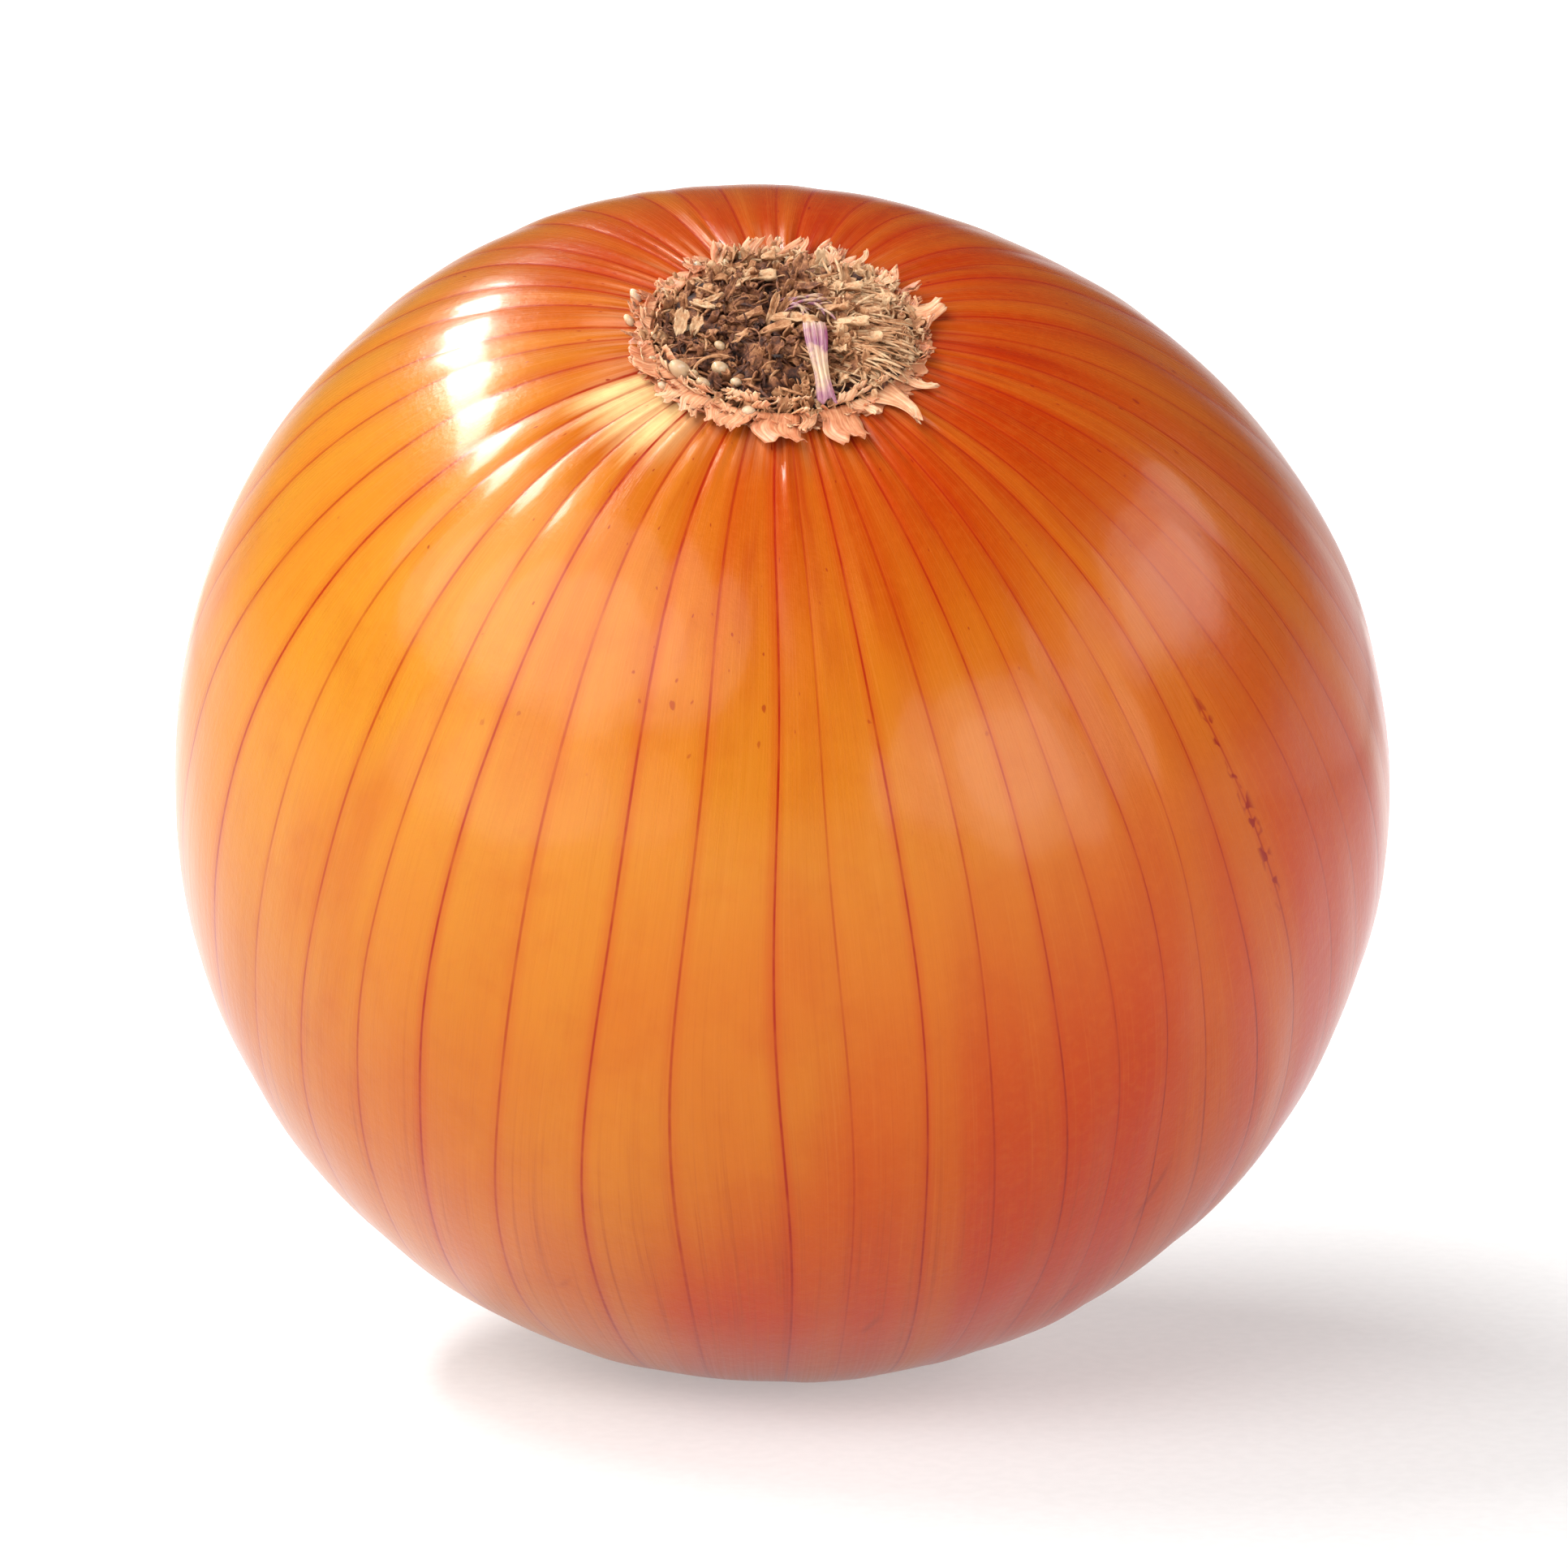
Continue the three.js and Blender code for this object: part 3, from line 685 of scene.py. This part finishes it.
crumb = Shader("dry_root_crumb")
crumb_place = crumb.add("TexCoord").outputs["Object"]
grain = crumb.noise(crumb_place, 2600.0, 4.0, 0.7)
patches = crumb.noise(crumb_place, 620.0, 2.0)
tone = crumb.add("Attribute", attribute_name="tone").outputs["Fac"]
uneven = crumb.plus(crumb.step(grain, 0.3, 0.7, -0.2, 0.18), crumb.step(patches, 0.3, 0.7, -0.1, 0.1))
tone = crumb.plus(tone, uneven)
crumb_colour = crumb.ramp(tone, (
    (0.0, linear(30, 16, 12)),
    (0.2, linear(74, 42, 30)),
    (0.42, linear(118, 71, 44)),
    (0.62, linear(156, 105, 68)),
    (0.82, linear(178, 131, 92)),
    (1.0, linear(196, 161, 124)),
))
crumb.set(Base_Color=crumb_colour, Roughness=0.72, Normal=crumb.relief(grain, 0.0001, 0.6))
crumb.set(Specular_IOR_Level=0.3)
for piece in (plate, stubs, fibres, flakes):
    piece.data.materials.append(crumb.material)
    hand_over(piece)
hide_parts("root_plate")

# Torn skin.
# The dry outer skin tore where the roots were trimmed. Its papery edge stands round the plate in ragged
# pinkish tan tabs, and broad curled ones hang towards the viewer over a frill of paler inner skin.
BAND_THICKNESS = 0.08
TAB_THICKNESS = 0.06
SHRED_THICKNESS = 0.05
SMALL_TABS = 62
FRILL_TABS = 34
EDGE_SHREDS = 110
# The largest tabs: azimuth, radius they start from, width, length, curl, share of the width at the tip.
NAMED_TABS = (
    (-91, 8.6, 2.7, 3.8, 0.45, 0.95), (-107, 8.6, 1.9, 3.2, 0.45, 0.8), (-79, 8.6, 1.0, 2.8, 0.5, 0.6),
    (-66, 8.6, 2.3, 4.1, 0.3, 0.9), (-44, 8.6, 2.2, 4.8, 0.2, 0.08), (-27, 8.8, 1.5, 3.0, 0.25, 0.1),
    (-13, 8.7, 1.2, 1.6, 0.7, 0.2), (17, 8.5, 1.9, 3.2, 0.35, 0.75), (43, 8.7, 1.1, 1.2, 1.2, 0.8),
    (59, 8.9, 0.7, 2.0, 0.9, 0.25), (70, 8.9, 1.2, 1.5, 0.7, 0.3), (85, 8.9, 2.1, 1.8, 0.6, 0.2),
    (103, 8.9, 1.2, 1.6, 1.3, 0.8), (113, 8.9, 1.8, 2.1, 0.6, 0.25), (128, 8.8, 1.1, 1.5, 0.5, 0.1),
    (150, 8.8, 1.6, 1.3, 0.4, 0.2), (163, 8.8, 1.7, 1.7, 0.5, 0.3), (172, 8.7, 1.4, 1.4, 0.6, 0.2),
    (-165, 8.6, 2.2, 2.0, 0.4, 0.5), (-154, 8.4, 2.4, 2.5, 0.5, 0.7), (-140, 8.5, 1.6, 2.6, 0.3, 0.6),
    (-128, 8.4, 1.7, 2.9, 0.4, 0.7), (-118, 8.4, 1.5, 2.9, 0.4, 0.7), (-56, 8.5, 1.2, 2.4, 0.4, 0.5),
)


def torn_sheet(around, along, azimuth, start, width, length, curl, tip_share, lift, raggedness=1.0):
    """Places of a torn tab that leaves the collar outwards, close to the skin, with its tip curled up."""
    phase = dice.uniform(0, 20)
    ragged = 0.16 * np.sin(5 * around + phase) + 0.1 * np.sin(13 * around + 2 * phase)
    ragged = ragged + 0.05 * np.sin(31 * around)
    reach = length * along * (0.86 + raggedness * ragged * along)
    half = 0.5 * width * (1 + (tip_share - 1) * along) * (1 + 0.1 * np.sin(8 * along + phase))
    bend = curl * along
    forward = reach * np.sinc(bend / np.pi)
    rise = reach * np.sin(bend / 2) ** 2 / np.maximum(bend / 2, 0.01)
    ribs = 0.06 * np.sin(11 * around + phase) * along + 0.03 * np.sin(23 * around + 3 * along + phase)
    cup = 0.12 * width * around**2 * along * math.copysign(1, math.sin(phase))
    ring = start + forward
    turn = math.radians(azimuth) - around * half / ring + 0.06 * np.sin(3 * along + phase) * along
    x, y = ring * np.cos(turn), ring * np.sin(turn)
    return np.stack((x, y, skin_height(x, y) + lift + rise + ribs + cup), axis=-1)


band, around, along = sheet_grid(240, 8)
phase = np.pi * around
ring = 8.5 + (1.35 + 0.2 * np.sin(23 * phase) + 0.12 * np.sin(57 * phase + 2)) * along
x, y = ring * np.cos(-phase), ring * np.sin(-phase)
wrinkle = 0.12 * np.sin(46 * phase) + 0.07 * np.sin(91 * phase + 1)
z = skin_height(x, y) + 0.08 + 0.12 * np.sin(np.pi * np.minimum(1, 0.25 + along)) + wrinkle * (1 - along)
collar = copies_of(band, "torn_skin_band", [np.stack((x, y, z), axis=-1)], [0.5])
weld(collar)
thicken(collar, BAND_THICKNESS)

tab, around, along = sheet_grid(12, 12)
copies, tones = [], []
for azimuth, start, width, length, curl, tip_share in NAMED_TABS:
    shape = (1.15 * width, length, curl, tip_share)
    copies.append(torn_sheet(around, along, azimuth, start, *shape, lift=0.4, raggedness=0.35))
    tones.append(dice.uniform(0.45, 0.85))
for number in range(SMALL_TABS):
    azimuth = 360 * (number + dice.uniform(-0.4, 0.4)) / SMALL_TABS
    in_front = -135 < turned_from(0, azimuth) < -35
    width, length = dice.uniform(0.7, 2.0), dice.uniform(0.8, 1.5 if in_front else 2.1)
    curl, tip_share = dice.uniform(0.1, 1.5), dice.uniform(0.1, 0.8)
    start = dice.uniform(8.5, 9.1)
    copies.append(torn_sheet(around, along, azimuth, start, width, length, curl, tip_share, lift=0.15))
    tones.append(dice.uniform(0.2, 0.8))
for number in range(FRILL_TABS):
    azimuth = -92 + 62 * dice.uniform(-1, 1) if number % 3 else 360 * dice.random()
    start = dice.uniform(7.0, 8.4)
    width, length, curl = dice.uniform(0.8, 1.7), dice.uniform(0.8, 1.5), dice.uniform(1.4, 2.8)
    copies.append(torn_sheet(around, along, azimuth, start, width, length, curl, 0.9, lift=0.35))
    tones.append(dice.uniform(0.7, 1.0))
tabs = copies_of(tab, "torn_skin_tabs", copies, tones)
thicken(tabs, TAB_THICKNESS)

shred, around, along = sheet_grid(2, 6)
copies, tones = [], []
for number in range(EDGE_SHREDS):
    azimuth = 360 * (number + dice.uniform(-0.5, 0.5)) / EDGE_SHREDS
    length, curl = dice.uniform(0.5, 1.4), dice.uniform(0.2, 2.4)
    start, width = dice.uniform(8.2, 9.2), dice.uniform(0.12, 0.35)
    copies.append(torn_sheet(around, along, azimuth, start, width, length, curl, 0.3, lift=0.1))
    tones.append(dice.uniform(0.4, 1.0))
shreds = copies_of(shred, "torn_skin_shreds", copies, tones)
thicken(shreds, SHRED_THICKNESS)

torn = Shader("dry_torn_skin")
torn_uv = torn.add("UVMap", uv_map="UVMap").outputs[0]
torn_place = torn.add("TexCoord").outputs["Object"]
streaks = torn.noise(torn.stretched(torn_uv, 16.0, 1.3), 1.0, 3.0, 0.6)
mottle = torn.noise(torn_place, 700.0, 3.0, 0.6)
tone = torn.add("Attribute", attribute_name="tone").outputs["Fac"]
uneven = torn.plus(torn.step(streaks, 0.3, 0.7, -0.28, 0.22), torn.step(mottle, 0.3, 0.7, -0.15, 0.15))
tone = torn.plus(tone, uneven)
torn_colour = torn.ramp(tone, (
    (0.0, linear(136, 74, 42)),
    (0.35, linear(182, 110, 72)),
    (0.65, linear(204, 140, 102)),
    (1.0, linear(220, 176, 138)),
))
torn.set(Base_Color=torn_colour, Roughness=0.5, Normal=torn.relief(streaks, 0.00006, 0.7))
torn.set(Subsurface_Weight=0.3, Subsurface_Radius=(1.0, 0.5, 0.3), Subsurface_Scale=0.0004)
for piece in (collar, tabs, shreds):
    piece.data.materials.append(torn.material)
    hand_over(piece)
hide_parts("root_collar")

# Root tips.
# New roots had begun to push out round the rim. They dried to smooth, pale, slightly clear knobs, like
# small pearls.
ROOT_TIPS = 30
# The ones that stand out: place on the plate, and radius.
NAMED_TIPS = (
    (-6.3, -4.6, 0.68), (-5.0, -5.6, 0.46), (-3.8, -4.2, 0.6), (-2.9, -5.4, 0.4), (-2.1, -8.0, 0.5),
    (-3.9, -2.2, 0.36), (-6.3, 0.2, 0.45), (-9.5, 4.2, 0.34), (-9.9, 1.6, 0.32), (4.2, -6.6, 0.34),
    (-8.2, -2.8, 0.36), (-7.6, -5.4, 0.34), (-6.4, -7.2, 0.3), (-3.9, -8.4, 0.3),
)
tip, around, along = sheet_grid(14, 10)
copies, tones = [], []
spots = list(NAMED_TIPS)
for number in range(ROOT_TIPS - len(NAMED_TIPS)):
    turn = math.radians(dice.uniform(60, 250))
    ring = dice.uniform(7.2, 9.6)
    spots.append((ring * math.cos(turn), ring * math.sin(turn), dice.uniform(0.2, 0.36)))
for x, y, radius in spots:
    outward = math.atan2(y, x)
    bow = radius * np.sin(np.pi * np.minimum(1, 0.08 + 0.92 * along)) * (along > 0)
    length = dice.uniform(1.9, 2.8) * radius
    rise = length * (1 - np.cos(np.pi * along)) / 2
    foot = max(float(plate_height(x, y)), float(skin_height(x, y))) - 0.45 * radius
    lean = 0.5 * rise
    copies.append(np.stack((
        x + bow * np.cos(np.pi * around) + lean * math.cos(outward),
        y + bow * np.sin(np.pi * around) + lean * math.sin(outward),
        foot + rise,
    ), axis=-1))
    tones.append(dice.random())
tips = copies_of(tip, "root_tips", copies, tones)
weld(tips)

pearl = Shader("root_tip")
pearl_place = pearl.add("TexCoord").outputs["Object"]
clouds = pearl.noise(pearl_place, 900.0, 2.0)
tone = pearl.add("Attribute", attribute_name="tone").outputs["Fac"]
tip_colour = pearl.ramp(pearl.plus(pearl.times(tone, 0.6), pearl.times(clouds, 0.5)), (
    (0.2, linear(168, 144, 112)),
    (0.55, linear(190, 160, 128)),
    (0.9, linear(208, 190, 166)),
))
pearl.set(Base_Color=tip_colour, Roughness=0.14, Normal=pearl.relief(clouds, 0.00005, 0.4))
pearl.set(Subsurface_Weight=0.6, Subsurface_Radius=(1.0, 0.8, 0.5), Subsurface_Scale=0.0008)
tips.data.materials.append(pearl.material)
hand_over(tips)

# Inner membrane.
# A strip of the moist inner skin came out with the roots: thin, ribbed, purple at both ends and pale
# between them. Shreds of the same skin lie across the middle of the plate.
STRIP_PATH = ((2.1, -1.5), (2.2, -2.6), (2.3, -4.0), (2.5, -5.6), (2.7, -7.0), (2.9, -8.2))
STRIP_WIDTH = 1.55
MEMBRANE_THICKNESS = 0.07
MEMBRANE_SHREDS = 16

strip, around, along = sheet_grid(12, 36)
path_share = np.linspace(0, 1, len(STRIP_PATH))
middle_x = np.interp(along, path_share, [x for x, y in STRIP_PATH])
middle_y = np.interp(along, path_share, [y for x, y in STRIP_PATH])
half = STRIP_WIDTH / 2 * (0.82 + 0.18 * np.sin(6 * along + 0.6)) * (1 + 0.12 * np.sin(7 * around) * along)
x = middle_x + around * half
y = middle_y + 0.25 * np.sin(4 * around) * along
resting = np.maximum(mound_height(x, y), skin_height(x, y))
z = resting + 1.45 - 0.45 * along + 0.07 * np.cos(3.5 * np.pi * around) + 0.1 * np.sin(9 * along)
membrane = copies_of(strip, "inner_membrane", [np.stack((x, y, z), axis=-1)], [0.5])
thicken(membrane, MEMBRANE_THICKNESS)

shred, around, along = sheet_grid(5, 9)
thickness = np.minimum(1, 6 * np.minimum(along + 0.02, 1 - along))
copies = []
for number in range(MEMBRANE_SHREDS):
    x, y = dice.uniform(-0.6, 2.4), dice.uniform(0.1, 1.7)
    heading, bend = math.radians(dice.gauss(-10, 24)), dice.uniform(-0.7, 0.7)
    length, lift = dice.uniform(0.9, 2.2), dice.uniform(0.1, 0.45)
    start = float(plate_height(x, y)) + 0.9

    def path(t):
        turned = heading + bend * t
        height = start + lift * np.sin(np.pi * t)
        return x + length * t * np.cos(turned), y + length * t * np.sin(turned), height

    copies.append(tube(around, along, path, dice.uniform(0.06, 0.12) * thickness))
membrane_shreds = copies_of(shred, "membrane_shreds", copies, [0.5] * MEMBRANE_SHREDS)
weld(membrane_shreds, FIBRE_SEAM)

film = Shader("inner_membrane")
film_uv = film.add("UVMap", uv_map="UVMap").outputs[0]
film_along = film.add("SeparateXYZ", {"Vector": film_uv}).outputs[1]
film_noise = film.noise(film.add("TexCoord").outputs["Object"], 1100.0, 3.0, 0.6)
film_place = film.plus(film_along, film.step(film_noise, 0.3, 0.7, -0.1, 0.1))
film_colour = film.ramp(film_place, (
    (0.0, linear(170, 132, 108)),
    (0.2, linear(136, 78, 96)),
    (0.36, linear(122, 54, 92)),
    (0.48, linear(178, 140, 116)),
    (0.7, linear(188, 152, 118)),
    (0.88, linear(152, 96, 112)),
    (1.0, linear(134, 70, 100)),
))
film_ribs = film.noise(film.stretched(film_uv, 22.0, 2.0), 1.0, 2.0)
film_colour = film.blend(film.step(film_ribs, 0.45, 0.7, 0.0, 0.5), film_colour, linear(212, 190, 164))
film.set(Base_Color=film_colour, Roughness=0.38, Normal=film.relief(film_ribs, 0.00008, 0.8))
film.set(Subsurface_Weight=0.3, Subsurface_Radius=(1.0, 0.6, 0.6), Subsurface_Scale=0.0004)
for piece in (membrane, membrane_shreds):
    piece.data.materials.append(film.material)
    hand_over(piece)

# Neck.
# The dry leaf bases at the other end, pinched together and cut short: papery sleeves, one inside the
# other, round a plug of dried leaf.
NECK_FOLDS = 11
NECK_PLUG = 43.2
NECK_PLUG_RADIUS = 4.4
SLEEVE_THICKNESS = 0.12
# Each sleeve: radius at its foot, radius at its rim, reach from the bulb's middle.
NECK_SLEEVES = (
    (5.2, 4.3, 44.6), (4.6, 3.6, 45.2), (4.1, 2.9, 44.4),
    (3.5, 2.3, 44.9), (2.8, 1.7, 44.2), (2.0, 1.0, 44.5),
)

sleeve, around, along = sheet_grid(132, 16)
copies, tones = [], []
turn = np.pi * around
shoulder = -float(grown(0, 180 - math.degrees(math.asin(NECK_RADIUS / EQUATOR_RADIUS)))[2])
for number, (foot_radius, rim_radius, reach) in enumerate(NECK_SLEEVES):
    edge = reach - 0.35 * np.abs(np.sin(5 * turn + 2 * number)) - 0.2 * np.sin(17 * turn + number) ** 2
    edge = edge - 0.12 * np.sin(41 * turn + number)
    height = shoulder - 0.4 + (edge - shoulder + 0.4) * along
    ring = foot_radius + (rim_radius - foot_radius) * along**0.8
    folds = 0.3 * np.cos(NECK_FOLDS * turn + number) * (foot_radius / NECK_RADIUS)
    ring = ring + folds * (0.4 + 0.6 * along)
    ring = ring + 0.1 * np.sin(29 * turn + 3 * number) * along
    spun = turn + 0.25 * along + 0.4 * number
    copies.append(np.stack((ring * np.cos(spun), ring * np.sin(spun), -height), axis=-1))
    tones.append(0.5 + 0.08 * number)
sleeves = copies_of(sleeve, "neck_sleeves", copies, tones)
weld(sleeves)
thicken(sleeves, SLEEVE_THICKNESS)
places = vertex_array(sleeves)
places[:, 2] = np.maximum(places[:, 2], 0)  # pressed flat where it touches the table
set_vertex_array(sleeves, places)

plug, around, along = sheet_grid(60, 16)
turn = np.pi * around
ring = NECK_PLUG_RADIUS * along * (1 + 0.06 * np.cos(NECK_FOLDS * turn))
height = NECK_PLUG - 1.2 * along**3 + 0.22 * np.sin(9 * turn) * along + 0.2 * np.cos(7 * ring)
plug_places = np.stack((ring * np.cos(-turn), ring * np.sin(-turn), -height), axis=-1)
leaf_plug = copies_of(plug, "neck_plug", [plug_places], [0.35])
weld(leaf_plug)

papery = Shader("papery_neck")
papery_uv = papery.add("UVMap", uv_map="UVMap").outputs[0]
papery_streaks = papery.noise(papery.stretched(papery_uv, 70.0, 1.5), 1.0, 3.0, 0.6)
papery_mottle = papery.noise(papery.add("TexCoord").outputs["Object"], 500.0, 3.0, 0.6)
tone = papery.add("Attribute", attribute_name="tone").outputs["Fac"]
tone = papery.plus(tone, papery.step(papery_streaks, 0.3, 0.7, -0.25, 0.25))
tone = papery.plus(tone, papery.step(papery_mottle, 0.3, 0.7, -0.12, 0.12))
papery_colour = papery.ramp(tone, (
    (0.0, linear(136, 82, 40)),
    (0.35, linear(188, 126, 66)),
    (0.7, linear(208, 166, 108)),
    (1.0, linear(222, 196, 150)),
))
papery.set(Base_Color=papery_colour, Roughness=0.5, Normal=papery.relief(papery_streaks, 0.00008, 0.7))
papery.set(Subsurface_Weight=0.2, Subsurface_Scale=0.0005)
for piece in (sleeves, leaf_plug):
    piece.data.materials.append(papery.material)
    hand_over(piece)
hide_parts("neck")

# Table, light and camera.
# The onion lies on a white table, between a narrow window behind it on the left and soft lights in
# front; the table glows as painted light. The camera looks down on it a little.
FLOOR_SIDE = 12.0  # in metres, as are the wall's sizes and the lights' distances
WALL_RADIUS = 5.9
WALL_HEIGHT = 1.3
WORLD_LIGHT = 0.06
SOFTBOX_SHARES = (1.0, 0.62)
CAMERA_ELEVATION = 9.0
CAMERA_DISTANCE = 504.0  # in mm
PICTURE_WIDTH = 1932
PIXELS_PER_MM = 17.76  # at the middle of the bulb
MIDDLE_PIXEL = (963.5, 963.0)

deselect_all()
bpy.ops.mesh.primitive_plane_add(size=FLOOR_SIDE, location=(0, 0, 0))
table = bpy.context.object
table.name = "table"
paper = Shader("table_paper")
paper_place = paper.add("TexCoord").outputs["Object"]
fibre = paper.noise(paper_place, 900.0, 3.0)
paper_colour = paper.blend(paper.step(fibre, 0.3, 0.7), linear(188, 187, 186), linear(192, 191, 190))
paper.set(Base_Color=paper_colour, Roughness=0.9)

# Painted light: the table glows, brightest in a fan that widens behind the onion, more faintly round the
# onion, which this glow lights from below, and white far away on every side.
paper_split = paper.add("SeparateXYZ", {"Vector": paper_place})
paper_x, paper_y = paper_split.outputs[0], paper_split.outputs[1]
to_side = paper.plus(paper.math("ABSOLUTE", paper_x), paper.times(paper_y, -0.11))
behind = paper.add("MapRange", {"Value": paper_y, "From Min": -0.05, "From Max": 0.5}).outputs[0]
lit_behind = paper.times(paper.step(to_side, 0.26, 0.06), behind)
lit_near = paper.step(to_side, 0.5, 0.12, 0.08, 0.3)
distance = paper.add("VectorMath", {0: paper_place}, operation="LENGTH").outputs["Value"]
lit_far = paper.step(distance, 0.7, 1.5)
lit = paper.math("MAXIMUM", paper.plus(paper.times(lit_behind, 0.9), lit_near), lit_far)
paper.set(Emission_Color=(1, 1, 1, 1), Emission_Strength=lit)
paper.set(Specular_IOR_Level=0.2)
table.data.materials.append(paper.material)

# A low wall far round the table that glows as painted light, white at its foot and darker towards its top.
deselect_all()
bpy.ops.mesh.primitive_cylinder_add(
    vertices=96, radius=WALL_RADIUS, depth=WALL_HEIGHT, end_fill_type="NOTHING",
    location=(0, 0, WALL_HEIGHT / 2),
)
wall = bpy.context.object
wall.name = "wall"
bpy.ops.object.transform_apply(location=True, rotation=False, scale=False)
wall_paper = Shader("wall_paper")
wall_place = wall_paper.add("TexCoord").outputs["Object"]
wall_z = wall_paper.add("SeparateXYZ", {"Vector": wall_place}).outputs[2]
wall_light = wall_paper.step(wall_z, 0.1, WALL_HEIGHT, 1.0, WORLD_LIGHT)
wall_paper.set(Base_Color=linear(20, 20, 20), Emission_Color=(1, 1, 1, 1), Emission_Strength=wall_light)
wall.data.materials.append(wall_paper.material)


def towards(azimuth, elevation):
    """A direction from the onion: degrees to the right of the viewer's side, and degrees of elevation."""
    azimuth, elevation = math.radians(azimuth), math.radians(elevation)
    return Vector((
        math.sin(azimuth) * math.cos(elevation),
        -math.cos(azimuth) * math.cos(elevation),
        math.sin(elevation),
    ))


def panel_light(name, start, end, breadth, distance, radiance, shape="ELLIPSE"):
    """A bright panel that the onion sees between two directions, as broad as the given degrees."""
    first, last = towards(*start), towards(*end)
    middle = (first + last).normalized()
    length = 2 * distance * math.tan(first.angle(last) / 2)
    width = 2 * distance * math.tan(math.radians(breadth) / 2)
    lamp = bpy.data.lights.new(name, "AREA")
    lamp.shape = shape
    lamp.size = length
    lamp.size_y = width
    covered = math.pi / 4 if shape == "ELLIPSE" else 1.0
    lamp.energy = radiance * math.pi * length * width * covered
    holder = bpy.data.objects.new(name, lamp)
    bpy.context.scene.collection.objects.link(holder)
    sideways = (last - first).normalized()
    upward = middle.cross(sideways)
    turn = Matrix((sideways, upward, middle)).transposed()
    holder.matrix_world = Matrix.Translation(bulb_middle + middle * distance) @ turn.to_4x4()


def soft_light(name, start, end, breadth, distance, radiance):
    """A softbox, brightest in the middle: two panels of one shape, the second one smaller."""
    start, end = np.array(start), np.array(end)
    for number, share in enumerate(SOFTBOX_SHARES):
        trim = (end - start) * ((1 - share) / 2)
        panel = name + "_%d" % number
        panel_light(panel, start + trim, end - trim, breadth * share, distance, radiance / 2)


bulb_middle = Vector((0, 0, CENTRE_HEIGHT * MM))
panel_light("window", (-149, 41), (-84, 57), 7.5, 1.2, 36, "RECTANGLE")
soft_light("left_softbox", (-86, 32), (0, 34), 48, 0.9, 6.8)
soft_light("left_fill", (-74, 6), (-14, 6), 30, 0.9, 3.3)
soft_light("right_softbox", (22, 11), (68, 14), 31, 0.9, 6.4)
soft_light("right_strip", (62, 25), (122, 30), 20, 0.9, 4.6)

world = bpy.data.worlds.new("studio")
world.use_nodes = True
world.node_tree.nodes["Background"].inputs["Color"].default_value = (1.0, 1.0, 1.0, 1.0)
world.node_tree.nodes["Background"].inputs["Strength"].default_value = WORLD_LIGHT
bpy.context.scene.world = world

camera = bpy.data.cameras.new("camera")
camera.sensor_width = 36
camera.lens = camera.sensor_width * PIXELS_PER_MM * CAMERA_DISTANCE / PICTURE_WIDTH
viewer = bpy.data.objects.new("camera", camera)
bpy.context.scene.collection.objects.link(viewer)
back = towards(0, CAMERA_ELEVATION)
right_aim = (PICTURE_WIDTH / 2 - MIDDLE_PIXEL[0]) / PIXELS_PER_MM * MM
down_aim = (PICTURE_WIDTH / 2 - MIDDLE_PIXEL[1]) / PIXELS_PER_MM * MM
aim = bulb_middle + Vector((right_aim, 0, -down_aim))
viewer.location = aim + back * CAMERA_DISTANCE * MM
viewer.rotation_mode = "QUATERNION"
viewer.rotation_quaternion = (-back).to_track_quat("-Z", "Y")
bpy.context.scene.camera = viewer
bpy.context.scene.view_settings.view_transform = "Standard"
